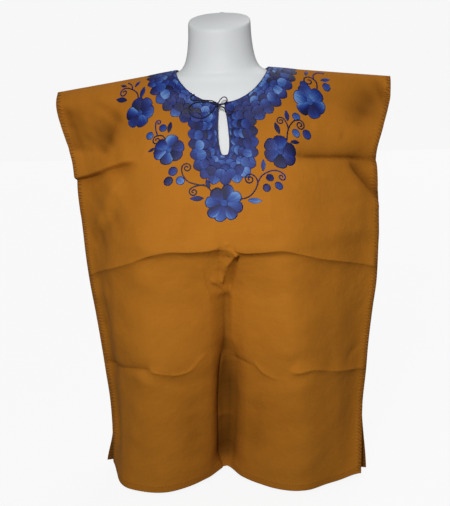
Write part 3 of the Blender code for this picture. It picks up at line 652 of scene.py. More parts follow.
@dataclass
class ClothMap:
    """Finds points of the cloth from metres across it and metres down it from the fold.

    A negative distance down lies on the back panel.
    """

    front: Drape
    back: Drape
    places: Array = field(init=False)
    tables: dict[Side, tuple[Array, Array]] = field(init=False)

    def __post_init__(self) -> None:
        """Measure both panels along their columns."""
        self.places = np.linspace(-1.0, 1.0, 161)
        self.tables = {drape.side: self.measure(drape) for drape in (self.front, self.back)}

    def measure(self, drape: Drape) -> tuple[Array, Array]:
        """Heights and distances down the cloth of each column of a panel."""
        share = np.linspace(0.0, 1.0, 500) ** 1.8
        tops = drape.cut.shoulder_height(self.places)
        heights = tops[:, None] * (1 - share[None, :])
        points = drape.smooth_face(np.broadcast_to(self.places[:, None], heights.shape), heights)
        steps = np.linalg.norm(np.diff(points, axis=1), axis=2)
        down = np.concatenate([np.zeros((len(self.places), 1)), np.cumsum(steps, axis=1)], axis=1)
        return heights, down

    def height(self, side: Side, place: Array, down: Array) -> Array:
        """Heights of places given by their distance down a panel."""
        heights, table = self.tables[side]
        column = np.clip((place + 1) / 2 * (len(self.places) - 1), 0, len(self.places) - 1.001)
        first = column.astype(int)
        low = np.array([np.interp(d, table[k], heights[k]) for k, d in zip(first, down)])
        high = np.array([np.interp(d, table[k + 1], heights[k + 1]) for k, d in zip(first, down)])
        return low + (high - low) * (column - first)

    def down(self, side: Side, place: Array, height: Array) -> Array:
        """Distances down a panel of places given by their height."""
        heights, table = self.tables[side]
        column = np.clip((place + 1) / 2 * (len(self.places) - 1), 0, len(self.places) - 1.001)
        first = column.astype(int)
        low = np.array([np.interp(-z, -heights[k], table[k]) for k, z in zip(first, height)])
        high = np.array([np.interp(-z, -heights[k + 1], table[k + 1]) for k, z in zip(first, height)])
        return low + (high - low) * (column - first)

    def lay(self, spots: Array, lift: Array | float = 0.0) -> tuple[Array, Array]:
        """Points and outward directions of spots given as metres across and metres down.

        Args:
            spots: One row for each spot.
            lift: How far each spot is raised off the cloth.

        Returns:
            The points, and the directions out of the cloth there.
        """
        lift = np.broadcast_to(np.asarray(lift, dtype=float), len(spots))
        points = np.zeros((len(spots), 3))
        out = np.zeros((len(spots), 3))
        for drape, chosen in ((self.front, spots[:, 1] >= 0), (self.back, spots[:, 1] < 0)):
            if not chosen.any():
                continue
            place = spots[chosen, 0] / drape.cut.tip_x
            height = self.height(drape.side, place, np.abs(spots[chosen, 1]))
            points[chosen] = drape.face(place, height, lift[chosen])
            out[chosen] = drape.normals(place, height)
        return points, out


# Shader values and finishes


class Value:
    """A number on a socket; plain sums on it add Math nodes to its tree."""

    def __init__(self, shade: "Shade", socket: bpy.types.NodeSocket) -> None:
        """Wrap an output socket of a material's tree."""
        self.shade = shade
        self.socket = socket

    def math(self, operation: str, *others: "Value | float") -> "Value":
        """The result of a Math node on this value and others."""
        sockets = dict(enumerate((self, *others)))
        node = self.shade.node("ShaderNodeMath", {"operation": operation}, sockets)
        return Value(self.shade, node.outputs[0])

    def __add__(self, other: "Value | float") -> "Value":
        """This plus another."""
        return self.math("ADD", other)

    def __sub__(self, other: "Value | float") -> "Value":
        """This less another."""
        return self.math("SUBTRACT", other)

    def __mul__(self, other: "Value | float") -> "Value":
        """This times another."""
        return self.math("MULTIPLY", other)

    __radd__ = __add__
    __rmul__ = __mul__

    def sine(self) -> "Value":
        """The sine of this."""
        return self.math("SINE")

    def clamped(self) -> "Value":
        """This, held between 0 and 1."""
        return self.math("MAXIMUM", 0.0).math("MINIMUM", 1.0)


Input = Value | bpy.types.NodeSocket | float | tuple


class Shade:
    """The node tree of one material, with its Principled shader."""

    def __init__(self, name: str) -> None:
        """Start an empty tree with a Principled shader."""
        self.material = bpy.data.materials.new(name)
        self.material.use_nodes = True
        self.tree = self.material.node_tree
        self.shader = self.tree.nodes["Principled BSDF"]

    def node(self, kind: str, settings: dict[str, Any] | None = None,
             sockets: dict[str | int, Input] | None = None) -> bpy.types.Node:
        """Add a node.

        Args:
            kind: The node's type.
            settings: Its own settings, set first; "stops" holds a ramp's places and colours.
            sockets: Values or links of its input sockets, by name or number.

        Returns:
            The node.
        """
        made = self.tree.nodes.new(kind)
        for name, value in (settings or {}).items():
            if name == "stops":
                self.set_stops(made.color_ramp, value)
            else:
                setattr(made, name, value)
        for name, value in (sockets or {}).items():
            self.feed(made.inputs[name], value)
        return made

    def feed(self, socket: bpy.types.NodeSocket, value: Input) -> None:
        """Link a value to a socket, or set it there."""
        if isinstance(value, Value):
            self.tree.links.new(value.socket, socket)
        elif isinstance(value, bpy.types.NodeSocket):
            self.tree.links.new(value, socket)
        else:
            socket.default_value = value

    @staticmethod
    def set_stops(ramp: bpy.types.ColorRamp, stops: Sequence[tuple[float, tuple[float, float, float]]]) -> None:
        """Give a ramp its stops."""
        while len(ramp.elements) < len(stops):
            ramp.elements.new(1.0)
        for element, (place, colour) in zip(ramp.elements, stops):
            element.position = place
            element.color = (*colour, 1.0)

    def value(self, kind: str, output: str | int, settings: dict[str, Any] | None = None,
              sockets: dict[str | int, Input] | None = None) -> Value:
        """One output of a new node, as a value."""
        return Value(self, self.node(kind, settings, sockets).outputs[output])

    def uv(self) -> tuple[Value, Value]:
        """The two numbers of the piece's own UV map."""
        spot = self.node("ShaderNodeUVMap", {"uv_map": "cloth"})
        parts = self.node("ShaderNodeSeparateXYZ", sockets={0: spot.outputs[0]})
        return Value(self, parts.outputs[0]), Value(self, parts.outputs[1])

    def attribute(self, name: str) -> Value:
        """A number kept on the mesh."""
        return self.value("ShaderNodeAttribute", "Fac", {"attribute_name": name})

    def noise(self, vector: Input, scale: float, detail: float = 2.0, roughness: float = 0.5) -> Value:
        """Soft noise at a scale in turns per metre."""
        sockets = {"Vector": vector, "Scale": scale, "Detail": detail, "Roughness": roughness}
        return self.value("ShaderNodeTexNoise", 0, sockets=sockets)

    def vector(self, x: Input, y: Input, z: Input = 0.0) -> bpy.types.NodeSocket:
        """A vector of three numbers."""
        return self.node("ShaderNodeCombineXYZ", sockets={0: x, 1: y, 2: z}).outputs[0]

    def place(self) -> bpy.types.NodeSocket:
        """The place on the piece, in metres."""
        return self.node("ShaderNodeTexCoord").outputs["Object"]

    def mix(self, share: Input, first: Input, second: Input) -> bpy.types.NodeSocket:
        """A colour between two."""
        made = self.node("ShaderNodeMix", {"data_type": "RGBA"}, {0: share, 6: first, 7: second})
        return made.outputs[2]

    def bump(self, height: Input, distance: float, strength: float,
             normal: Input | None = None) -> bpy.types.NodeSocket:
        """The normal of a surface with a height on it."""
        sockets = {"Height": height, "Distance": distance, "Strength": strength}
        if normal is not None:
            sockets["Normal"] = normal
        return self.node("ShaderNodeBump", sockets=sockets).outputs[0]

    def finish(self, **sockets: Input) -> bpy.types.Material:
        """Feed the shader's sockets, named with underscores for spaces, and return the material."""
        for name, value in sockets.items():
            self.feed(self.shader.inputs[name.replace("_", " ")], value)
        return self.material


@dataclass(frozen=True)
class Poplin:
    """Plain woven cotton with a faint sheen and small creases from handling, and shade painted into its creases and
    hollows.
    """

    colour: tuple[float, float, float] = (0.520, 0.190, 0.017)
    deep: tuple[float, float, float] = (0.415, 0.140, 0.010)
    # How far the whole colour is darkened; the inside copy's 0.42 is painted shade.
    shade: float = 1.0
    name: str = "mustard_poplin"
    warp: float = 0.00052
    weft: float = 0.00060
    pucker: float = 0.0060
    # How dark the painted shade in creases gets, as a share of the deep colour.
    fold_shade: float = 0.40

    def material(self) -> bpy.types.Material:
        """The cloth's material."""
        shade = Shade(self.name)
        light = tuple(part * self.shade for part in self.colour)
        dark = tuple(part * self.shade for part in self.deep)
        across, down = shade.uv()
        spot = shade.vector(across, down)
        warp = (across * (2 * math.pi / self.warp)).sine()
        weft = (down * (2 * math.pi / self.weft)).sine()
        weave = (warp * weft) * 0.5 + 0.5
        slub = shade.noise(shade.vector(across * 900.0, down * 40.0), 1.0, 2.0)
        slub_across = shade.noise(shade.vector(across * 36.0, down * 800.0), 1.0, 2.0)
        patches = shade.noise(spot, 9.0, 3.0, 0.6)
        tone = ((patches - 0.5) * 0.9 + (slub - 0.5) * 0.45 + (slub_across - 0.5) * 0.35 + 0.35).clamped()
        hem = shade.attribute("hem")
        colour = shade.mix((tone + hem * 0.35).clamped(), (*light, 1.0), (*dark, 1.0))
        colour = shade.mix(weave * 0.10, colour, (*dark, 1.0))
        # Painted shade: where the fold mark says the cloth lies deep in a crease or hollow, its colour darkens
        # towards this shade colour.
        painted_crease_shade = tuple(part * self.fold_shade for part in dark)
        colour = shade.mix(shade.attribute("fold"), colour, (*painted_crease_shade, 1.0))
        crumple = shade.noise(spot, 42.0, 4.0, 0.62)
        fine = shade.bump(weave + slub * 0.5 + slub_across * 0.5, 0.00008, 0.45)
        pucker = (down * (2 * math.pi / self.pucker)).sine() * shade.attribute("edge")
        drawn = shade.bump(pucker, 0.0006, 1.0, fine)
        normal = shade.bump(crumple, 0.0034, 0.55, drawn)
        rough = 0.80 + (slub - 0.5) * 0.12
        return shade.finish(Base_Color=colour, Roughness=rough, Normal=normal, Sheen_Weight=0.02,
                            Sheen_Roughness=0.45, Sheen_Tint=(1.0, 0.62, 0.25, 1.0), Specular_IOR_Level=0.10)


@dataclass(frozen=True)
class SatinThread:
    """Glossy stranded thread whose blue changes along its length."""

    stops: tuple[tuple[float, tuple[float, float, float]], ...] = (
        (0.00, (0.001, 0.002, 0.040)),
        (0.28, (0.002, 0.006, 0.105)),
        (0.52, (0.006, 0.028, 0.225)),
        (0.76, (0.028, 0.095, 0.370)),
        (1.00, (0.130, 0.270, 0.580)),
    )
    strand: float = 0.00055

    def material(self) -> bpy.types.Material:
        """The thread's material."""
        shade = Shade("blue_satin_thread")
        along, across = shade.uv()
        lines = (across * (2 * math.pi / self.strand)).sine() * 0.5 + 0.5
        streak = shade.noise(shade.vector(along * 70.0, across * 1500.0), 1.0, 2.0, 0.6)
        broad = shade.noise(shade.vector(along * 30.0, across * 420.0), 1.0, 1.0)
        tone = shade.attribute("tone") + (streak - 0.5) * 0.34 + (broad - 0.5) * 0.42
        ramp = shade.node("ShaderNodeValToRGB", {"stops": self.stops}, {"Fac": tone.clamped()})
        normal = shade.bump(lines + streak * 0.6, 0.00012, 0.5)
        rough = 0.50 + (streak - 0.5) * 0.22
        return shade.finish(Base_Color=ramp.outputs[0], Roughness=rough, Normal=normal, Specular_IOR_Level=0.38)


@dataclass(frozen=True)
class TwistedThread:
    """Cotton thread or cord with a visible twist, or a narrow bias band."""

    name: str
    colour: tuple[float, float, float]
    light: tuple[float, float, float]
    pitch: float
    turns: float
    roughness: float = 0.68

    def material(self) -> bpy.types.Material:
        """The thread's material."""
        shade = Shade(self.name)
        along, across = shade.uv()
        twist = (along * (2 * math.pi / self.pitch) + across * (2 * math.pi * self.turns)).sine() * 0.5 + 0.5
        fuzz = shade.noise(shade.place(), 2400.0, 2.0)
        share = (twist * 0.7 + fuzz * 0.5 - 0.1).clamped()
        colour = shade.mix(share, (*self.colour, 1.0), (*self.light, 1.0))
        normal = shade.bump(twist + fuzz * 0.4, 0.00022, 0.8)
        return shade.finish(Base_Color=colour, Roughness=self.roughness + (fuzz - 0.5) * 0.2, Normal=normal,
                            Sheen_Weight=0.06, Sheen_Roughness=0.5)


@dataclass(frozen=True)
class MouldedPlastic:
    """Smooth white plastic with a soft gloss and faint handling marks."""

    colour: tuple[float, float, float] = (0.86, 0.88, 0.88)
    dulled: tuple[float, float, float] = (0.80, 0.82, 0.81)

    def material(self) -> bpy.types.Material:
        """The form's material."""
        shade = Shade("white_form_plastic")
        place = shade.place()
        cloud = shade.noise(place, 7.0, 3.0, 0.6)
        pebble = shade.noise(place, 1400.0, 1.0)
        colour = shade.mix(cloud, (*self.colour, 1.0), (*self.dulled, 1.0))
        normal = shade.bump(pebble, 0.00004, 0.3)
        return shade.finish(Base_Color=colour, Roughness=0.42 + cloud * 0.12, Normal=normal, Specular_IOR_Level=0.4)


@dataclass(frozen=True)
class Finishes:
    """One material for each finish of the piece."""

    poplin: bpy.types.Material
    # The poplin darkened for the garment's inside faces: painted shade.
    shaded_inside: bpy.types.Material
    sewing: bpy.types.Material
    thread: bpy.types.Material
    binding: bpy.types.Material
    cord: bpy.types.Material
    plastic: bpy.types.Material

    @classmethod
    def make(cls) -> "Finishes":
        """Make every finish once."""
        return cls(
            Poplin().material(),
            # The inside faces' poplin, darkened to 0.42 as painted shade.
            Poplin(shade=0.42, name="mustard_poplin_painted_shade_inside").material(),
            TwistedThread("brown_sewing_thread", (0.050, 0.020, 0.006), (0.120, 0.050, 0.012), 0.0012,
                          0.0).material(),
            SatinThread().material(),
            TwistedThread("navy_binding", (0.004, 0.007, 0.075), (0.016, 0.035, 0.200), 0.0011, 0.0).material(),
            TwistedThread("navy_cord", (0.003, 0.003, 0.020), (0.012, 0.014, 0.070), 0.0017, 1.0, 0.6).material(),
            MouldedPlastic().material(),
        )


# Meshes


def clear_selection() -> None:
    """Leave object mode with nothing selected."""
    if bpy.context.object and bpy.context.object.mode != "OBJECT":
        bpy.ops.object.mode_set(mode="OBJECT")
    bpy.ops.object.select_all(action="DESELECT")


def make_active(obj: bpy.types.Object) -> None:
    """Select one object alone."""
    clear_selection()
    bpy.context.view_layer.objects.active = obj
    obj.select_set(True)


def add_piece(name: str, points: Array, faces: Sequence[Sequence[int]], material: bpy.types.Material,
              uv: Array | None = None, **numbers: Array) -> bpy.types.Object:
    """Add a smooth piece.

    Args:
        name: The piece's name.
        points: Its vertices.
        faces: Vertex numbers of each face.
        material: Its finish.
        uv: A place on the cloth for each vertex.
        numbers: Numbers to keep on the vertices, by name.

    Returns:
        The piece.
    """
    mesh = bpy.data.meshes.new(name)
    mesh.from_pydata(np.asarray(points).tolist(), [], faces)
    mesh.materials.append(material)
    mesh.shade_smooth()
    if uv is not None:
        corner = np.empty(len(mesh.loops), dtype=np.int32)
        mesh.loops.foreach_get("vertex_index", corner)
        layer = mesh.uv_layers.new(name="cloth")
        layer.data.foreach_set("uv", np.asarray(uv, dtype=np.float32)[corner].ravel())
    for label, values in numbers.items():
        kept = mesh.attributes.new(label, "FLOAT", "POINT")
        kept.data.foreach_set("value", np.asarray(values, dtype=np.float32))
    obj = bpy.data.objects.new(name, mesh)
    bpy.context.scene.collection.objects.link(obj)
    return obj


def apply_modifier(obj: bpy.types.Object, kind: str, **settings: Any) -> None:
    """Add a modifier to a piece and apply it."""
    make_active(obj)
    modifier = obj.modifiers.new(kind.lower(), kind)
    for name, value in settings.items():
        setattr(modifier, name, value)
    bpy.ops.object.modifier_apply(modifier=modifier.name)


def face_outwards(obj: bpy.types.Object) -> None:
    """Turn every face of a piece outwards."""
    make_active(obj)
    bpy.ops.object.mode_set(mode="EDIT")
    bpy.ops.mesh.select_all(action="SELECT")
    bpy.ops.mesh.normals_make_consistent(inside=False)
    bpy.ops.object.mode_set(mode="OBJECT")


def dress(obj: bpy.types.Object, node: str | None = None) -> bpy.types.Object:
    """Let a piece ride with the blouse and in place of a node where one is named."""
    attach(obj, ROOT_BODY)
    if node:
        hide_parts(node)
    return obj


def triangles(obj: bpy.types.Object) -> int:
    """How many triangles a piece has."""
    return sum(len(polygon.vertices) - 2 for polygon in obj.data.polygons)


def frames_along(line: Array, closed: bool = False) -> Array:
    """Directions along a line at each of its points."""
    if closed:
        return unit(unit(np.roll(line, -1, axis=0) - line) + unit(line - np.roll(line, 1, axis=0)))
    return unit(np.gradient(line, axis=0))


@dataclass
class Tube:
    """A round cord along a line, turned as little as its line allows."""

    line: Array
    radius: float
    sides: int = 10
    closed: bool = False
    rounding: tuple[float, ...] = (0.45, 0.85)

    def rings(self) -> tuple[Array, Array]:
        """Centres and radii of the rings, with rounded ends."""
        if self.closed:
            return self.line, np.full(len(self.line), self.radius)
        along = frames_along(self.line)
        caps = [math.sqrt(1 - (1 - share) ** 2) for share in self.rounding]
        first = [self.line[0] - along[0] * self.radius * (1 - share) for share in self.rounding]
        last = [self.line[-1] + along[-1] * self.radius * (1 - share) for share in self.rounding]
        centres = np.vstack([first, self.line, last[::-1]])
        radii = np.concatenate([caps, np.ones(len(self.line)), caps[::-1]]) * self.radius
        return centres, radii

    def mesh(self) -> tuple[Array, list[tuple[int, ...]], Array]:
        """Points, faces and UV of the tube."""
        centres, radii = self.rings()
        along = frames_along(centres, self.closed)
        side = unit(np.cross(along[0], (0.31, 0.52, 0.79)))
        points, uv = [], []
        run = run_along(centres)
        angles = 2 * math.pi * np.arange(self.sides) / self.sides
        for k, centre in enumerate(centres):
            side = unit(side - along[k] * (side @ along[k]))
            other = np.cross(along[k], side)
            round_it = np.cos(angles)[:, None] * side + np.sin(angles)[:, None] * other
            points.append(centre + radii[k] * round_it)
            uv.append(np.stack([np.full(self.sides, run[k]), angles / (2 * math.pi)], axis=1))
        count = len(centres)
        faces = []
        for k in range(count if self.closed else count - 1):
            here, there = k * self.sides, (k + 1) % count * self.sides
            shift = self.twist(points[-1], points[0]) if self.closed and k == count - 1 else 0
            for j in range(self.sides):
                near, far = (j + 1) % self.sides, (j + shift) % self.sides
                faces.append((here + j, here + near, there + (far + 1) % self.sides, there + far))
        if not self.closed:
            faces.append(tuple(range(self.sides))[::-1])
            faces.append(tuple(range((count - 1) * self.sides, count * self.sides)))
        return np.vstack(points), faces, np.vstack(uv)

    @staticmethod
    def twist(last: Array, first: Array) -> int:
        """How many sides the first ring is turned from the last one."""
        gaps = [np.linalg.norm(np.roll(first, -shift, axis=0) - last) for shift in range(len(first))]
        return int(np.argmin(gaps))


@dataclass(frozen=True)
class Stamp:
    """A stitched shape in the unit disc: what repeats in the embroidery, modelled once."""

    spots: Array
    top: Array
    faces: list[tuple[int, ...]]

    @classmethod
    def make(cls, sides: int, insets: Sequence[float]) -> "Stamp":
        """Model a disc with a raised face.

        Args:
            sides: Corners of the disc.
            insets: Widths of the rings from its rim inwards.

        Returns:
            The stamp.
        """
        clear_selection()
        bpy.ops.mesh.primitive_circle_add(vertices=sides, radius=1.0, fill_type="NGON", location=(0, 0, 0))
        disc = bpy.context.object
        bpy.ops.object.mode_set(mode="EDIT")
        bpy.ops.mesh.select_all(action="SELECT")
        bpy.ops.mesh.extrude_region_move(TRANSFORM_OT_translate={"value": (0, 0, 1)})
        for width in insets:
            bpy.ops.mesh.inset(thickness=width)
        bpy.ops.mesh.poke()
        bpy.ops.mesh.select_face_by_sides(number=sides, type="EQUAL", extend=False)
        bpy.ops.mesh.poke()
        bpy.ops.mesh.select_all(action="SELECT")
        bpy.ops.mesh.normals_make_consistent(inside=False)
        bpy.ops.object.mode_set(mode="OBJECT")
        points = np.array([vertex.co[:] for vertex in disc.data.vertices])
        faces = [tuple(polygon.vertices) for polygon in disc.data.polygons]
        bpy.data.meshes.remove(disc.data)
        return cls(points[:, :2], points[:, 2] > 0.5, faces)


class Outline(Enum):
    """Outlines of a stitched shape; the value is its width at the root, the middle and the tip."""

    SCALLOP = (0.62, 1.00, 1.10)
    PETAL = (0.40, 1.00, 1.36)
    LEAF = (0.50, 1.00, 0.42)
    ROUND = (1.00, 1.00, 1.00)


@dataclass
class Stitching:
    """Raised stitches that lie on the cloth, gathered into one piece."""

    name: str
    cloth: ClothMap
    spots: list[Array] = field(default_factory=list)
    lifts: list[Array] = field(default_factory=list)
    tones: list[Array] = field(default_factory=list)
    threads: list[Array] = field(default_factory=list)
    faces: list[tuple[int, ...]] = field(default_factory=list)
    count: int = 0

    def put(self, stamp: Stamp, centre: Sequence[float], heading: float, length: float, width: float,
            outline: Outline, tone: float, slope: float = 0.0, lean: float = 0.0, dome: float = 0.0005,
            tip: float = 0.0, outlined: bool = True) -> None:
        """Stitch one shape.

        Args:
            stamp: The shape to copy.
            centre: Metres across and down of its middle.
            heading: Direction of its tip, from straight across towards the hem.
            length: Half its length.
            width: Half its width.
            outline: How its width changes from root to tip.
            tone: How light its blue is, 0 to 1.
            slope: How much lighter its tip is than its middle.
            lean: How much lighter one side is than the other.
            dome: How far its middle is padded.
            tip: How far its tip is raised.
            outlined: Whether its rim is sewn in a darker thread.
        """
        x, y = stamp.spots.T
        root, middle, end = outline.value
        share = np.where(x < 0, middle + (root - middle) * x * x, middle + (end - middle) * x * x)
        along = x * length
        across = y * width * share
        cosine, sine = math.cos(heading), math.sin(heading)
        turned = np.stack([along * cosine - across * sine, along * sine + across * cosine], axis=1)
        reach = np.hypot(x, y)
        lift = tip * (x + 1) / 2 + 0.00012 + dome * np.sqrt(np.clip(1.02 - reach ** 2, 0, 1))
        lift = np.where(stamp.top, lift, tip * (x + 1) / 2 - 0.00015)
        shade = tone + slope * x + lean * y
        if outlined:
            shade = np.where(reach > 0.97, -0.25, shade)
        self.spots.append(turned + centre)
        self.lifts.append(lift)
        self.tones.append(shade)
        self.threads.append(np.stack([along + centre[0] * 3.1, across + centre[1] * 2.7], axis=1))
        self.faces += [tuple(k + self.count for k in face) for face in stamp.faces]
        self.count += len(x)

    def piece(self, material: bpy.types.Material) -> bpy.types.Object:
        """The stitches as one piece that rides with the blouse."""
        points, _ = self.cloth.lay(np.vstack(self.spots), np.concatenate(self.lifts))
        obj = add_piece(self.name, points, self.faces, material, np.vstack(self.threads),
                        tone=np.concatenate(self.tones))
        face_outwards(obj)
        return dress(obj)


# The blouse


@dataclass
class Blouse:
    """The two cloth panels, sewn along the sides and in one piece over the shoulders."""

    cloth: ClothMap
    finishes: Finishes
    column_step: float = 0.0040
    middle_step: float = 0.0013
    middle_reach: float = 0.040
    neck_turns: int = 15
    upper_rows: int = 44
    front_rows: tuple[int, int, int] = (46, 86, 64)
    back_rows: tuple[int, int, int] = (34, 42, 44)
    waist_crowding: float = 1.22
    # Crease depth at which the painted crease shade is full.
    fold_depth: float = 0.014
    pucker_place: float = 0.0045
    pucker_width: float = 0.0050
    guides: tuple[tuple[tuple[float, float], ...], ...] = in_metres((
        ((-282.5, 527), (-253, 534), (-214, 548), (-187, 556), (-155, 566), (-128, 573), (-60, 567), (0, 565),
         (60, 565), (121, 566), (147, 560), (186, 556), (226, 550), (254, 545), (282.5, 541)),
        ((-282.5, 361), (-235, 374), (-178, 390), (-143, 402), (-116, 414), (-88, 420), (-50, 419.5),
         (-12, 423), (28, 417), (60, 417), (95, 418), (120, 410), (153, 398), (186, 390), (229, 379),
         (282.5, 366)),
        ((-282.5, 197), (-205, 213), (-162, 222), (-136, 224), (-96, 216), (-45, 228), (3, 227), (32, 227),
         (54, 221), (73, 214), (122, 219), (146, 219), (190, 207), (231, 198), (282.5, 190)),
    ))
    back_guides: tuple[tuple[tuple[float, float], ...], ...] = in_metres((
        ((-282.5, 546), (-210, 556), (-130, 563), (0, 562), (140, 561), (210, 552), (282.5, 545)),
        ((-282.5, 392), (-216, 400), (-140, 414), (-62, 410), (0, 412), (78, 417), (150, 405), (226, 396),
         (282.5, 386)),
        ((-282.5, 214), (-190, 222), (-104, 216), (0, 222), (96, 226), (180, 214), (282.5, 207)),
    ))

    def places(self) -> Array:
        """Places of the columns, closer in the middle and at the neck's sides."""
        cut = self.cloth.front.cut
        slit = cut.slit_top_half
        middle = np.linspace(slit, self.middle_reach, round((self.middle_reach - slit) / self.middle_step) + 1)
        turn = np.cos(np.linspace(math.pi / 2, 0, self.neck_turns + 1))
        neck = self.middle_reach + (cut.neck_half - self.middle_reach) * turn
        outer = np.linspace(cut.neck_half, cut.tip_x, round((cut.tip_x - cut.neck_half) / self.column_step) + 1)
        half = np.concatenate([middle, neck[1:], outer[1:]]) / cut.tip_x
        return np.concatenate([-half[::-1], [0.0], half])

    @staticmethod
    def spread(count: int, ends: float = 0.36) -> Array:
        """Shares from 0 to 1, closer at both ends."""
        t = np.linspace(0.0, 1.0, count + 1)
        return t - (1 - ends) * np.sin(2 * math.pi * t) / (2 * math.pi)

    def grid(self, drape: Drape, places: Array) -> tuple[Array, Array, Array]:
        """Places, heights and openness of a panel's grid, row by row."""
        cut = drape.cut
        front = drape.side is Side.FRONT
        guides = self.guides if front else self.back_guides
        counts = self.front_rows if front else self.back_rows
        in_neck = np.abs(places) < cut.neck_place
        lines = [np.where(in_neck, drape.neckline(places, 0.0), cut.shoulder_height(places))]
        for guide in guides:
            across, height = np.array(guide).T
            lines.append(np.interp(places * cut.tip_x, across, height))
        lines.append(cut.hem_height(places))
        upper = self.spread(self.upper_rows, 0.25) ** 1.25
        shares = [upper] + [self.spread(count) for count in counts]
        shares[2] = shares[2] ** self.waist_crowding
        rows = [lines[0] + (lines[1] - lines[0]) * share for share in shares[0]]
        for k in range(1, len(shares)):
            rows += [lines[k] + (lines[k + 1] - lines[k]) * share for share in shares[k][1:]]
        heights = np.array(rows)
        across = np.broadcast_to(places, heights.shape).copy()
        is_open = np.zeros(heights.shape, dtype=bool)
        if front:
            slit = cut.slit_top_half
            drop = cut.shoulder_z - heights[: self.upper_rows + 1]
            share = np.clip(drop / (cut.shoulder_z - cut.slit_bottom), 0, 1)
            reach = np.maximum(cut.slit_relax - np.abs(places * cut.tip_x), 0) / (cut.slit_relax - slit)
            shift = (cut.slit_half_width(share) - slit) / cut.tip_x * np.minimum(reach, 1) * np.sign(places)
            across[: self.upper_rows + 1] += shift
            is_open[: self.upper_rows, len(places) // 2] = True
        return across, heights, is_open

    def panel(self, drape: Drape, fold: Array, places: Array) -> bpy.types.Object:
        """One panel as a thin shell."""
        across, heights, is_open = self.grid(drape, places)
        points = drape.face(across, heights)
        outside = np.abs(places) >= drape.cut.neck_place - 1e-6
        points[0, outside] = fold[outside]
        number = -np.ones(across.shape, dtype=int)
        number[~is_open] = np.arange((~is_open).sum())
        corners = (number[:-1, :-1], number[1:, :-1], number[1:, 1:], number[:-1, 1:])
        quads = np.stack(corners, axis=-1).reshape(-1, 4)
        quads = quads[(quads >= 0).all(axis=1)]
        if drape.side is Side.BACK:
            quads = quads[:, ::-1]
        kept = ~is_open
        down = self.cloth.down(drape.side, across[kept], heights[kept])
        uv = np.stack([across[kept] * drape.cut.tip_x, down * -drape.side.value], axis=1)
        edge = (1 - np.abs(across[kept])) * drape.cut.tip_x
        marks = {
            "hem": drape.hem(across[kept], heights[kept]),
            "edge": np.exp(-((edge - self.pucker_place) / self.pucker_width) ** 2),
            # Painted shade: the fold mark, how deep the cloth lies in a crease, darkens the poplin's colour there.
            "fold": np.clip(-drape.relief(across[kept], heights[kept]) / self.fold_depth, 0, 1),
        }
        name = f"{drape.side.name.lower()}_cloth"
        obj = add_piece(name, points[kept], quads.tolist(), self.finishes.poplin, uv, **marks)
        # The inner faces take the darkened poplin: painted shade inside the garment.
        obj.data.materials.append(self.finishes.shaded_inside)
        apply_modifier(obj, "SOLIDIFY", thickness=drape.cut.wall, offset=-1.0, use_even_offset=False,
                       material_offset=1)
        return obj

    def build(self) -> list[bpy.types.Object]:
        """Both panels, each in place of its part."""
        places = self.places()
        drapes = (self.cloth.front, self.cloth.back)
        tops = [drape.smooth_face(places, drape.cut.shoulder_height(places)) for drape in drapes]
        fold = (tops[0] + tops[1]) / 2
        made = []
        for drape in drapes:
            made.append(dress(self.panel(drape, fold, places), drape.side.name.lower()))
        return made


@dataclass
class NeckEdge:
    """The raw edge of the neck opening and the keyhole slit, as one closed line."""

    cloth: ClothMap
    step: float = 0.0012

    def half(self) -> tuple[Array, Array]:
        """Places and heights from the shoulder to the slit's foot, on the right half."""
        cut = self.cloth.front.cut
        turn = np.cos(np.linspace(0, math.pi / 2, 60))
        slit = cut.slit_top_half / cut.tip_x
        neck = slit + (cut.neck_place - slit) * turn
        height = self.cloth.front.neckline(neck, 0.0)
        down = np.linspace(height[-1], cut.slit_bottom, 50)[1:]
        share = (cut.shoulder_z - down) / (cut.shoulder_z - cut.slit_bottom)
        return (np.concatenate([neck, cut.slit_half_width(share) / cut.tip_x]), np.concatenate([height, down]))

    def line(self) -> Array:
        """The edge as metres across and down: slit's foot, left side, back, right side."""
        cut = self.cloth.front.cut
        place, height = self.half()
        down = self.cloth.down(Side.FRONT, place, height)
        right = np.stack([place * cut.tip_x, down], axis=1)
        left = right * (-1, 1)
        turn = np.cos(np.linspace(math.pi, 0, 120))[1:-1] * cut.neck_place
        behind = self.cloth.down(Side.BACK, turn, self.cloth.back.neckline(turn, 0.0))
        back = np.stack([turn * cut.tip_x, -behind], axis=1)
        foot = np.array([[0.0, down[-1] + 0.0006]])
        loop = np.vstack([foot, left[::-1], back, right])
        return self.even(np.vstack([loop, loop[:1]]), self.step)[:-1]

    @staticmethod
    def even(line: Array, step: float) -> Array:
        """The line with evenly spaced points."""
        run = run_along(line)
        places = np.linspace(0, run[-1], max(int(round(run[-1] / step)), 2) + 1)
        return np.stack([np.interp(places, run, column) for column in line.T], axis=1)

    def offset(self, distance: float) -> Array:
        """A closed line that keeps its distance from the edge, on the cloth."""
        edge = self.line()
        along = unit(np.roll(edge, -1, axis=0) - np.roll(edge, 1, axis=0))
        out = np.stack([along[:, 1], -along[:, 0]], axis=1)
        middle = edge.mean(axis=0)
        if (out * (edge - middle)).sum() < 0:
            out = -out
        ring = edge + out * distance
        gaps = np.sqrt(((ring[:, None, :] - edge[None, :, :]) ** 2).sum(axis=2)).min(axis=1)
        ring = ring[gaps > distance - 0.0004]
        turned = np.vstack([ring, ring[:1]])
        return self.even(turned, self.step)[:-1]


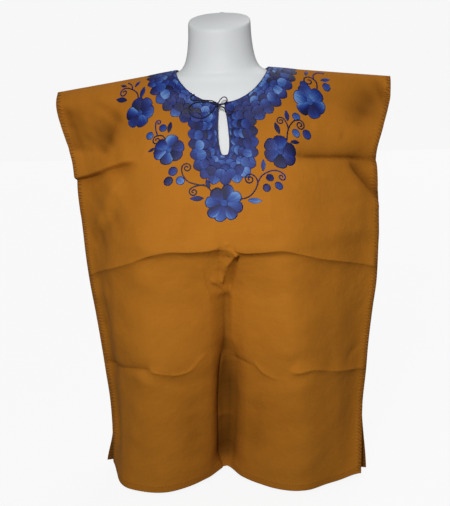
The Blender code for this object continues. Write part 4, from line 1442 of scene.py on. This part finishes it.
@dataclass
class Binding:
    """The narrow blue band that wraps the raw edge."""

    cloth: ClothMap
    edge: NeckEdge
    finishes: Finishes
    section: tuple[tuple[float, float], ...] = (
        (0.0036, 0.00020), (0.0034, 0.00062), (0.0022, 0.00092), (0.0008, 0.00100), (-0.0003, 0.00075),
        (-0.0007, -0.00010), (-0.0004, -0.00115), (0.0008, -0.00150), (0.0022, -0.00145), (0.0028, -0.00110),
        (0.0016, -0.00070), (0.0016, 0.00000),
    )

    def build(self) -> bpy.types.Object:
        """The band as one closed ring."""
        line = self.edge.line()
        points, out = self.cloth.lay(line)
        along = frames_along(points, closed=True)
        for _ in range(3):
            along = unit(along + 0.6 * (np.roll(along, 1, axis=0) + np.roll(along, -1, axis=0)))
        inward = unit(np.cross(out, along))
        flat = np.roll(line, -1, axis=0) - np.roll(line, 1, axis=0)
        probe, _ = self.cloth.lay(line + unit(np.stack([flat[:, 1], -flat[:, 0]], axis=1)) * 0.002)
        if ((probe - points) * inward).sum() < 0:
            inward = -inward
        run = np.arange(len(line)) * self.edge.step
        pucker = 1 + 0.10 * np.sin(run * 2 * math.pi / 0.0034)
        rings, uv = [], []
        for k, (reach, lift) in enumerate(self.section):
            raised = lift * (pucker if lift > 0 else 1.0)
            rings.append(points + inward * reach + out * np.broadcast_to(raised, len(line))[:, None])
            uv.append(np.stack([run, np.full(len(line), reach)], axis=1))
        count, sides = len(line), len(self.section)
        points = np.stack(rings, axis=1).reshape(-1, 3)
        places = np.stack(uv, axis=1).reshape(-1, 2)
        faces = []
        for k in range(count):
            here, there = k * sides, (k + 1) % count * sides
            for j in range(sides):
                near = (j + 1) % sides
                faces.append((here + j, here + near, there + near, there + j))
        obj = add_piece("neck_band", points, faces, self.finishes.binding, places)
        face_outwards(obj)
        return dress(obj, "neck_binding")


class Flower(NamedTuple):
    """A flower: its middle, metres across and down, its width, its petals and how they sit."""

    across: float
    down: float
    width: float
    petals: int
    turn: float
    tone: float


class Leaf(NamedTuple):
    """A leaf: its middle, its length, its direction in degrees and how light it is."""

    across: float
    down: float
    length: float
    turn: float
    tone: float


class Berry(NamedTuple):
    """A berry: its middle, its width and how light it is."""

    across: float
    down: float
    width: float
    tone: float


class Stem(NamedTuple):
    """A stem: its line, the middle of the curl at its end, the curl's turns and its tone."""

    line: tuple[tuple[float, float], ...]
    middle: tuple[float, float]
    turns: float
    tone: float

    def curled(self) -> Array:
        """The stem's line with its curl, wound towards the hem's left where turns are positive."""
        if not self.turns:
            return np.array(self.line)
        start = np.array(self.line[-1]) - self.middle
        radius, angle = np.hypot(*start), math.atan2(start[1], start[0])
        share = np.linspace(0.0, 1.0, 16)[1:]
        turn = angle + share * self.turns * 2 * math.pi
        reach = radius * (1 - 0.78 * share)
        curl = np.stack([self.middle[0] + reach * np.cos(turn), self.middle[1] + reach * np.sin(turn)], axis=1)
        return np.vstack([self.line, curl])


@dataclass
class Embroidery:
    """The yoke of scallops round the neck, and the sprays of flowers below it."""

    cloth: ClothMap
    edge: NeckEdge
    finishes: Finishes
    seed: int = 11
    stem_radius: float = 0.00115
    probe: float = 0.004
    spacing: float = 1.78
    middle_tone: float = 0.45
    band: tuple[tuple[float, float, float, float], ...] = (
        # distance from the edge, half length, half width, rise of the tip
        (0.0395, 0.0095, 0.0102, 0.0001),
        (0.0312, 0.0098, 0.0096, 0.0007),
        (0.0232, 0.0094, 0.0090, 0.0007),
        (0.0155, 0.0088, 0.0085, 0.0007),
        (0.0088, 0.0072, 0.0080, 0.0007),
        (0.0048, 0.0042, 0.0064, 0.0008),
    )
    flowers: tuple[Flower, ...] = tuple(Flower(*in_metres(row[:3]), *row[3:]) for row in (
        (-135, 92, 52, 6, 0.3, 0.42), (-90, 172, 52, 6, 0.8, 0.5), (-2, 268, 62, 8, 0.2, 0.42),
        (145, 80, 57, 6, 0.1, 0.52), (94, 180, 57, 6, 0.6, 0.34),
    ))
    berries: tuple[Berry, ...] = tuple(Berry(*in_metres(row[:3]), *row[3:]) for row in (
        (-97, 132, 14, 0.55), (-120, 139, 14, 0.75), (-84, 210, 16, 0.45), (-91, 225, 16, 0.15),
        (-72, 227, 15, 0.85), (74, 226, 14, 0.25), (68, 243, 14, 0.3), (88, 238, 14, 0.5), (122, 142, 15, 0.75),
        (142, 138, 17, 0.45), (122, 113, 15, 0.7), (135, 53, 15, 0.5), (174, 47, 15, 0.6),
    ))
    leaves: tuple[Leaf, ...] = tuple(Leaf(*in_metres(row[:3]), *row[3:]) for row in (
        (-167, 57, 22, 205, 0.1), (-129, 59, 22, -75, 0.35), (-164, 31, 14, 215, 0.3), (-139, 36, 16, -60, 0.4),
        (-86, 133, 20, -75, 0.05), (-118, 165, 14, 170, 0.1), (-45, 257, 22, 180, 0.3),
        (-28, 234, 18, -110, 0.2), (48, 263, 24, 5, 0.85), (64, 205, 20, -85, 0.55), (90, 140, 22, -110, 0.05),
        (106, 115, 20, -100, 0.35), (120, 158, 18, -15, 0.12), (172, 34, 18, -20, 0.5), (140, 24, 16, -80, 0.4),
    ))
    stems: tuple[Stem, ...] = tuple(Stem(*in_metres(row[:2]), *row[2:]) for row in (
        (((-22, 247), (-30, 238), (-45, 234), (-59, 229), (-68, 218), (-70, 207.5)), (-61.8, 206), 1.45, 0.04),
        (((-34, 235), (-46, 236.5), (-54.5, 240)), (-50.5, 246), -1.35, 0.08),
        (((-94, 153), (-99, 145.5), (-106, 143.5)), (-108.5, 151), -1.3, 0.06),
        (((-106.5, 143.5), (-109, 133), (-108.5, 121.5)), (-103.5, 120.5), 1.15, 0.4),
        (((-136, 70), (-138, 58), (-147, 46.5), (-160, 38.5)), (-162.5, 46), -1.25, 0.2),
        (((-147, 46.5), (-149, 36), (-156, 27)), (0, 0), 0, 0.3),
        (((24, 261), (38, 256.5), (48, 247), (53.5, 234), (48.5, 222.5), (40.5, 219.5)), (40.5, 228), -1.4,
         0.12),
        (((53.5, 234), (60, 223), (73, 215.5), (88, 213), (96.5, 216.5)), (93.5, 222.5), 1.2, 0.38),
        (((106, 158), (107.5, 143), (112, 130), (121, 119.5), (129, 117.5)), (129, 126), 1.5, 0.02),
        (((108.5, 138), (105.5, 128.5), (101.5, 122.5)), (95.5, 126.5), -1.35, 0.05),
        (((158, 54), (157, 44), (150.5, 36.5)), (143.5, 44), -1.2, 0.02),
        (((152, 38), (152, 27), (160, 18.5), (170, 18.5)), (0, 0), 0, 0.35),
    ))

    def yoke(self) -> bpy.types.Object:
        """Rows of scallops round the neck and the slit, each row over the roots of the next."""
        stamp = Stamp.make(14, (0.12, 0.28, 0.30))
        stitches = Stitching("collar_stitching", self.cloth)
        chance = np.random.default_rng(self.seed)
        for row, (distance, length, width, tip) in enumerate(self.band):
            line = self.edge.offset(distance)
            run = len(line) * self.edge.step
            count = max(int(round(run / (width * self.spacing))), 3)
            start = 0.5 * (row % 2)
            previous = self.middle_tone
            for k in range(count):
                spot = ((k + start) / count * len(line)) % len(line)
                here = line[int(spot)]
                ahead = line[(int(spot) + 3) % len(line)]
                behind = line[int(spot) - 3]
                along = ahead - behind
                turned = 1 if self.faces_out(here, along) else -1
                heading = math.atan2(-turned * along[0], turned * along[1])
                tone = self.middle_tone + 0.35 * (previous - self.middle_tone)
                tone = float(np.clip(tone + chance.normal(0, 0.20), 0.08, 0.92))
                previous = tone
                stitches.put(stamp, here, heading + chance.normal(0, 0.10), length * chance.uniform(0.94, 1.06),
                             width * chance.uniform(0.95, 1.08), Outline.SCALLOP, tone,
                             slope=chance.choice((-0.20, 0.12, 0.26)), lean=chance.normal(0, 0.12), dome=0.0004,
                             tip=tip)
        return stitches.piece(self.finishes.thread)

    def faces_out(self, here: Array, along: Array) -> bool:
        """Whether the left of a direction points away from the neck opening."""
        edge = self.edge.line()
        left = unit(np.array([-along[1], along[0]])) * self.probe
        near = np.linalg.norm(edge - (here + left), axis=1).min()
        far = np.linalg.norm(edge - (here - left), axis=1).min()
        return bool(near >= far)

    def sprays(self) -> bpy.types.Object:
        """Flowers, berries and leaves."""
        petal = Stamp.make(16, (0.10, 0.26, 0.30))
        small = Stamp.make(12, (0.16, 0.34))
        stitches = Stitching("spray_stitching", self.cloth)
        chance = np.random.default_rng(self.seed + 4)
        for flower in self.flowers:
            radius = flower.width / 2
            for k in range(flower.petals):
                turn = flower.turn + 2 * math.pi * k / flower.petals + chance.normal(0, 0.05)
                reach = radius * 0.54 * chance.uniform(0.96, 1.04)
                centre = (flower.across + reach * math.cos(turn), flower.down + reach * math.sin(turn))
                width = 0.86 * radius * math.sin(math.pi / flower.petals)
                tone = float(np.clip(flower.tone + chance.normal(0, 0.16), 0.05, 0.95))
                stitches.put(petal, centre, turn, radius * 0.46, width, Outline.PETAL, tone,
                             slope=chance.choice((-0.28, 0.28)), lean=chance.normal(0, 0.38), dome=0.0006,
                             tip=0.0002 * (k % 2))
            stitches.put(petal, (flower.across, flower.down), flower.turn, radius * 0.20, radius * 0.20,
                         Outline.ROUND, flower.tone + 0.20, dome=0.0006, tip=0.0006)
        for leaf in self.leaves:
            stitches.put(petal, (leaf.across, leaf.down), math.radians(leaf.turn), leaf.length / 2,
                         leaf.length * 0.20, Outline.LEAF, leaf.tone, slope=0.12, lean=0.10, dome=0.0005)
        for berry in self.berries:
            stitches.put(small, (berry.across, berry.down), 0.9, berry.width / 2, berry.width / 2 * 0.94,
                         Outline.ROUND, berry.tone, slope=0.14, dome=0.0006)
        return stitches.piece(self.finishes.thread)

    def vines(self) -> bpy.types.Object:
        """Curled stems, each a raised line of stem stitch."""
        points, faces, uv, tone, count = [], [], [], [], 0
        for stem in self.stems:
            path = stem.curled()
            run = np.linalg.norm(np.diff(path, axis=0), axis=1).sum()
            line = smooth_line(path, max(int(run / 0.0011), 12))
            laid, _ = self.cloth.lay(line, 0.0001)
            spots, quads, places = Tube(laid, self.stem_radius, 6).mesh()
            points.append(spots)
            uv.append(places * (1.0, 0.002))
            tone.append(np.full(len(spots), stem.tone))
            faces += [tuple(k + count for k in face) for face in quads]
            count += len(spots)
        obj = add_piece("stem_stitching", np.vstack(points), faces, self.finishes.thread, np.vstack(uv),
                        tone=np.concatenate(tone))
        return dress(obj)

    def build(self) -> list[bpy.types.Object]:
        """Every embroidered piece."""
        return [self.yoke(), self.sprays(), self.vines()]


@dataclass
class EdgeStitches:
    """Short stitches over the side edges and along the hems."""

    cloth: ClothMap
    finishes: Finishes
    pitch: float = 0.0060
    reach: float = 0.0080
    half_width: float = 0.00050
    slant: float = 0.25
    tone: float = 0.12
    hem_pitch: float = 0.0048
    hem_half_length: float = 0.0011
    hem_half_width: float = 0.00026
    seed: int = 5

    def build(self) -> bpy.types.Object:
        """All the edge stitches as one piece."""
        stamp = Stamp.make(8, (0.4,))
        stitches = Stitching("edge_stitching", self.cloth)
        chance = np.random.default_rng(self.seed)
        cut = self.cloth.front.cut
        for drape in (self.cloth.front, self.cloth.back):
            sign = -drape.side.value
            for hand in (-1, 1):
                place = np.array([hand * 0.9999])
                total = float(self.cloth.down(drape.side, place, cut.hem_height(place))[0])
                for down in np.arange(0.006, total - 0.004, self.pitch):
                    middle = hand * (cut.tip_x - self.reach / 2 - 0.0002)
                    centre = (middle, sign * (down + chance.normal(0, 0.0004)))
                    stitches.put(stamp, centre, chance.normal(self.slant, 0.12), self.reach / 2,
                                 self.half_width, Outline.ROUND, self.tone, outlined=False)
            for across in np.arange(-cut.tip_x + 0.010, cut.tip_x - 0.008, self.hem_pitch):
                place = np.array([across / cut.tip_x])
                height = drape.hem_line(place) - 0.0012
                down = float(self.cloth.down(drape.side, place, height)[0])
                stitches.put(stamp, (across, sign * down), 0.0, self.hem_half_length, self.hem_half_width,
                             Outline.ROUND, self.tone, dome=0.0002, outlined=False)
        return stitches.piece(self.finishes.sewing)


@dataclass
class Bow:
    """The thin cord tied in a bow over the slit's upper end."""

    finishes: Finishes
    radius: float = 0.0009
    knot_place: tuple[float, float, float] = (-0.0030, -0.0642, 0.6442)
    knot_reach: tuple[float, float, float] = (0.0034, 0.0028, 0.0030)
    routes: dict[str, tuple[tuple[float, float, float], ...]] = field(
        default_factory=lambda: {
            "tie_loop_left": in_metres((
                (-6.8, -63.2, 645.5), (-12, -60.4, 647.2), (-18.8, -57.4, 648.8), (-31.9, -55.1, 649.1),
                (-43.8, -54.5, 646.6), (-50.3, -55.6, 640.6), (-48.5, -58.4, 632.1), (-39.6, -62.1, 625.5),
                (-29.7, -63.7, 624), (-19.1, -64, 627.2), (-11.7, -63.6, 634), (-6.2, -63.8, 641.5),
            )),
            "tie_end_left": in_metres((
                (-5.2, -62.6, 647.7), (-11.5, -60.6, 650.3), (-19.6, -58.8, 651.2), (-30, -56, 652.2),
                (-39.6, -54.5, 652.2), (-45, -54.1, 653.2), (-47.4, -53.4, 656.5), (-45, -52.7, 659.8),
                (-40.4, -52, 661.3),
            )),
            "tie_loop_right": in_metres((
                (-0.4, -63.3, 647.7), (3, -63, 652.4), (8, -62.5, 655.9), (12.6, -63, 654), (12.8, -64.8, 649),
                (8.2, -66.4, 645.8), (0.8, -66, 644.6),
            )),
            "tie_end_right": in_metres((
                (-0.3, -66.4, 642), (5, -67.2, 640.8), (9.2, -66.8, 637.4), (10.4, -67.2, 631.8),
                (14.6, -67, 628.2), (19.8, -65.5, 629.6), (22.2, -63.2, 634.5),
            )),
            "tie_bridge": in_metres((
                (0.9, -63, 643.2), (4, -63.2, 643.6), (8.2, -62.4, 644.5),
            )),
        }
    )

    def build(self) -> list[bpy.types.Object]:
        """Each stretch of cord, and the knot."""
        made = []
        for node, route in self.routes.items():
            run = np.linalg.norm(np.diff(np.array(route), axis=0), axis=1).sum()
            line = smooth_line(route, max(int(run / 0.0012), 6))
            points, faces, uv = Tube(line, self.radius, 10).mesh()
            obj = add_piece(node.replace("tie", "cord"), points, faces, self.finishes.cord, uv)
            dress(obj, node)
            if node != "tie_bridge":
                far_end = "object" if "loop" in node else "bare"
                2 * self.radius
            made.append(obj)
        made.append(self.knot())
        return made

    def knot(self) -> bpy.types.Object:
        """The knot, a cord wound over itself."""
        t = np.linspace(0, 2 * math.pi, 73)[:-1]
        wound = (np.sin(t) + 2 * np.sin(2 * t), -np.sin(3 * t) * 1.3, np.cos(t) - 2 * np.cos(2 * t))
        wound = np.stack(wound, axis=1)
        reach = np.array(self.knot_reach) - self.radius * 0.9
        line = wound / np.abs(wound).max(axis=0) * reach + np.array(self.knot_place)
        points, faces, uv = Tube(line, self.radius, 10, closed=True).mesh()
        obj = add_piece("cord_knot", points, faces, self.finishes.cord, uv)
        return dress(obj, "tie_knot")


class Ring(NamedTuple):
    """One ring of the dress form: its half width, front, side and back lines, and tilt."""

    z: float
    half_width: float
    front_y: float
    side_y: float
    back_y: float
    tilt: float


@dataclass
class DressForm:
    """The limbless dress form, a moulded shell with a forward-leaning flat top."""

    finishes: Finishes
    sides: int = 72
    levels: int = 64
    squareness: float = 2.25
    inset: float = 0.0002
    hole_radius: float = 0.0042
    hole_depth: float = 0.008
    rings: tuple[Ring, ...] = tuple(Ring(*in_metres(row[:5]), row[5]) for row in (
        (0, 132, -33, 12, 56, 0),
        (6, 139, -38, 11, 62, 0),
        (25, 147, -46, 9, 67, 0),
        (65, 153, -53, 8, 71, 0),
        (130, 151, -55, 8, 73, 0),
        (200, 142, -58, 6, 70, 0),
        (260, 130, -62, 4, 64, 0),
        (320, 123, -70, 2, 60, 0),
        (370, 128, -86, 0, 62, 0),
        (420, 137, -104, 0, 66, 0),
        (460, 143, -109, 0, 70, 0),
        (500, 147, -103, 2, 73, 0),
        (540, 153, -88, 6, 75, 0),
        (575, 163, -74, 10, 75, 0),
        (605, 170, -64, 14, 73, 0),
        (630, 168, -54.5, 16, 70, 0),
        (650, 161, -49, 17, 67, 0),
        (668, 145, -42.5, 18, 62, 0),
        (680, 121, -35.5, 18, 59, 0),
        (689, 101, -32.5, 18, 56, 0.01),
        (696, 79, -29.5, 18, 55.5, 0.03),
        (704, 66, -29, 18, 56, 0.08),
        (718, 59, -28, 18, 58, 0.16),
        (738, 55, -27, 18, 60, 0.26),
        (760, 53, -27, 18, 61, 0.34),
        (776, 52.5, -27, 18, 62, 0.37),
        (779.5, 51.5, -26.2, 18, 61.2, 0.37),
        (780.8, 48.5, -23.2, 18, 58.2, 0.37),
    ))

    def table(self) -> dict[str, Array]:
        """Every size of the form at evenly crowded levels."""
        rows = np.array(self.rings)
        number = np.linspace(0, len(rows) - 1, self.levels)
        heights = np.interp(number, np.arange(len(rows)), rows[:, 0])
        names = Ring._fields
        columns = {names[k]: steady_curve(rows[:, 0], rows[:, k], heights) for k in range(1, len(names))}
        return {"z": heights, **columns}

    def build(self) -> bpy.types.Object:
        """The form, drawn up ring by ring from a disc."""
        table = self.table()
        clear_selection()
        bpy.ops.mesh.primitive_circle_add(vertices=self.sides, radius=1.0, fill_type="NGON", location=(0, 0, 0))
        obj = bpy.context.object
        obj.name = "form_shell"
        obj.data.name = "form_shell"
        bpy.ops.object.mode_set(mode="EDIT")
        bpy.ops.mesh.select_all(action="SELECT")
        for _ in range(self.levels - 1):
            bpy.ops.mesh.extrude_region_move(TRANSFORM_OT_translate={"value": (0, 0, 1)})
        bpy.ops.object.mode_set(mode="OBJECT")
        for vertex in obj.data.vertices:
            level = int(round(vertex.co.z))
            angle = math.atan2(vertex.co.y, vertex.co.x)
            cosine, sine = math.cos(angle), math.sin(angle)
            reach = (abs(cosine) ** self.squareness + abs(sine) ** self.squareness) ** (-1 / self.squareness)
            row = {name: float(values[level]) for name, values in table.items()}
            depth = row["back_y"] - row["side_y"] if sine > 0 else row["side_y"] - row["front_y"]
            y = (depth - self.inset) * reach * sine
            x = (row["half_width"] - self.inset) * reach * cosine
            vertex.co = (x, row["side_y"] + y, row["z"] + row["tilt"] * y)
        self.cut_hole(obj)
        bpy.ops.object.shade_smooth_by_angle(angle=math.radians(50))
        obj.data.materials.append(self.finishes.plastic)
        return dress(obj, "dress_form")

    def cut_hole(self, obj: bpy.types.Object) -> None:
        """Round the top's rim inwards and sink the small socket in its middle."""
        bpy.ops.object.mode_set(mode="EDIT")
        bpy.ops.mesh.select_mode(type="FACE")
        bpy.ops.mesh.select_all(action="DESELECT")
        bpy.ops.object.mode_set(mode="OBJECT")
        top = max(obj.data.polygons, key=lambda polygon: polygon.center.z)
        top.select = True
        rim = min((obj.data.vertices[k].co - top.center).length for k in top.vertices)
        bpy.ops.object.mode_set(mode="EDIT")
        bpy.ops.mesh.inset(thickness=0.0022, depth=0.0006)
        bpy.ops.mesh.inset(thickness=0.004)
        bpy.ops.mesh.inset(thickness=rim - 0.0062 - self.hole_radius)
        bpy.ops.mesh.extrude_region_move(TRANSFORM_OT_translate={"value": (0, 0, -self.hole_depth)})
        bpy.ops.mesh.select_all(action="SELECT")
        bpy.ops.mesh.normals_make_consistent(inside=False)
        bpy.ops.object.mode_set(mode="OBJECT")


def standing(right: Array, up: Array, back: Array, place: Array) -> Matrix:
    """The matrix of a camera or lamp from its three directions and its place."""
    columns = [[*right, 0.0], [*up, 0.0], [*back, 0.0], [*place, 1.0]]
    return Matrix(columns).transposed()


@dataclass(frozen=True)
class Studio:
    """Camera, floor and soft light."""

    focal_px: float = 827.0
    azimuth: float = 3.8
    elevation: float = 12.0
    roll: float = -2.1
    distance: float = 1.4
    target: tuple[float, float, float] = (0.0, -0.05, 0.396)
    image_height: int = 506
    floor_grey: float = 0.05
    floor_light: float = 0.90
    backdrop: float = 0.93
    glow: float = 0.21

    def camera(self) -> bpy.types.Object:
        """The camera, at the photograph's angle."""
        a, e, r = (math.radians(angle) for angle in (self.azimuth, self.elevation, self.roll))
        back = np.array([math.sin(a) * math.cos(e), -math.cos(a) * math.cos(e), math.sin(e)])
        right = unit(np.cross(-back, (0, 0, 1)))
        up = np.cross(right, -back)
        turned = right * math.cos(r) + up * math.sin(r)
        upward = -right * math.sin(r) + up * math.cos(r)
        data = bpy.data.cameras.new("camera")
        data.sensor_fit = "VERTICAL"
        data.sensor_height = 36.0
        data.lens = self.focal_px * 36.0 / self.image_height
        data.clip_end = 20.0
        obj = bpy.data.objects.new("camera", data)
        bpy.context.scene.collection.objects.link(obj)
        place = np.array(self.target) + back * self.distance
        obj.matrix_world = standing(turned, upward, back, place)
        bpy.context.scene.camera = obj
        return obj

    def floor(self) -> bpy.types.Object:
        """A wide pale floor."""
        clear_selection()
        bpy.ops.mesh.primitive_plane_add(size=12.0, location=(0, 0, -0.0005))
        obj = bpy.context.object
        obj.name = "floor"
        shade = Shade("pale_floor")
        cloud = shade.noise(shade.place(), 1.5, 2.0)
        grey = self.floor_grey
        colour = shade.mix(cloud, (grey, grey, grey, 1.0), (grey * 0.985, grey * 0.985, grey * 0.985, 1.0))
        pale = shade.finish(Base_Color=colour, Roughness=0.85, Emission_Color=(1.0, 1.0, 1.0, 1.0),
                            Emission_Strength=self.floor_light)
        obj.data.materials.append(pale)
        obj.visible_diffuse = False
        obj.visible_glossy = False
        return obj

    @staticmethod
    def lamp(name: str, place: tuple[float, float, float], toward: tuple[float, float, float], size: float,
             power: float) -> None:
        """A soft square lamp at a place, turned toward another."""
        data = bpy.data.lights.new(name, "AREA")
        data.size = size
        data.energy = power
        data.spread = math.radians(78)
        obj = bpy.data.objects.new(name, data)
        bpy.context.scene.collection.objects.link(obj)
        back = unit(np.array(place) - np.array(toward))
        right = unit(np.cross((0, 0, 1), back))
        obj.matrix_world = standing(right, np.cross(back, right), back, np.array(place))

    @staticmethod
    def sun(name: str, toward: tuple[float, float, float], spread: float, strength: float) -> None:
        """A broad distant light that shines from a direction."""
        data = bpy.data.lights.new(name, "SUN")
        data.angle = spread
        data.energy = strength
        obj = bpy.data.objects.new(name, data)
        bpy.context.scene.collection.objects.link(obj)
        back = unit(np.array(toward))
        right = unit(np.cross((0, 0, 1), back))
        obj.matrix_world = standing(right, np.cross(back, right), back, back * 3.0)

    def light(self) -> None:
        """A pale backdrop that the camera alone sees, a dim glow, a low lamp in front and a weak sun behind."""
        world = bpy.data.worlds.new("studio_sky")
        world.use_nodes = True
        tree = world.node_tree
        seen = tree.nodes["Background"]
        seen.inputs["Color"].default_value = (self.backdrop, self.backdrop, self.backdrop, 1.0)
        seen.inputs["Strength"].default_value = 1.0
        glow = tree.nodes.new("ShaderNodeBackground")
        glow.inputs["Color"].default_value = (0.95, 0.97, 1.0, 1.0)
        glow.inputs["Strength"].default_value = self.glow
        path = tree.nodes.new("ShaderNodeLightPath")
        blend = tree.nodes.new("ShaderNodeMixShader")
        tree.links.new(path.outputs["Is Camera Ray"], blend.inputs[0])
        tree.links.new(glow.outputs[0], blend.inputs[1])
        tree.links.new(seen.outputs[0], blend.inputs[2])
        tree.links.new(blend.outputs[0], tree.nodes["World Output"].inputs["Surface"])
        bpy.context.scene.world = world
        self.lamp("key_light", (-0.10, -1.36, 1.20), (0.03, -0.10, 0.38), 0.25, 2.85)
        self.sun("back_light", (0.5, 1.0, 1.3), math.radians(40), 0.7)
        bpy.context.scene.view_settings.view_transform = "Standard"


def main() -> None:
    """Build and report every piece."""
    logging.basicConfig(level=logging.INFO, format="%(name)s: %(message)s")
    studio = Studio()
    studio.camera()
    finishes = Finishes.make()
    made = Bow(finishes).build()
    cut = ClothCut()
    front = Drape(Side.FRONT, cut, 0.052, 0.0545, FRONT_CREASES)
    back = Drape(Side.BACK, cut, 0.022, 0.014, BACK_CREASES)
    cloth = ClothMap(front, back)
    edge = NeckEdge(cloth)
    panels = Blouse(cloth, finishes).build()
    band = Binding(cloth, edge, finishes).build()
    stitched = Embroidery(cloth, edge, finishes).build()
    seams = EdgeStitches(cloth, finishes).build()
    form = DressForm(finishes).build()
    made += [*panels, band, *stitched, seams, form]
    studio.floor()
    studio.light()
    for obj in made:
        log.info("%s: %d triangles", obj.name, triangles(obj))


if __name__ == "__main__":
    main()
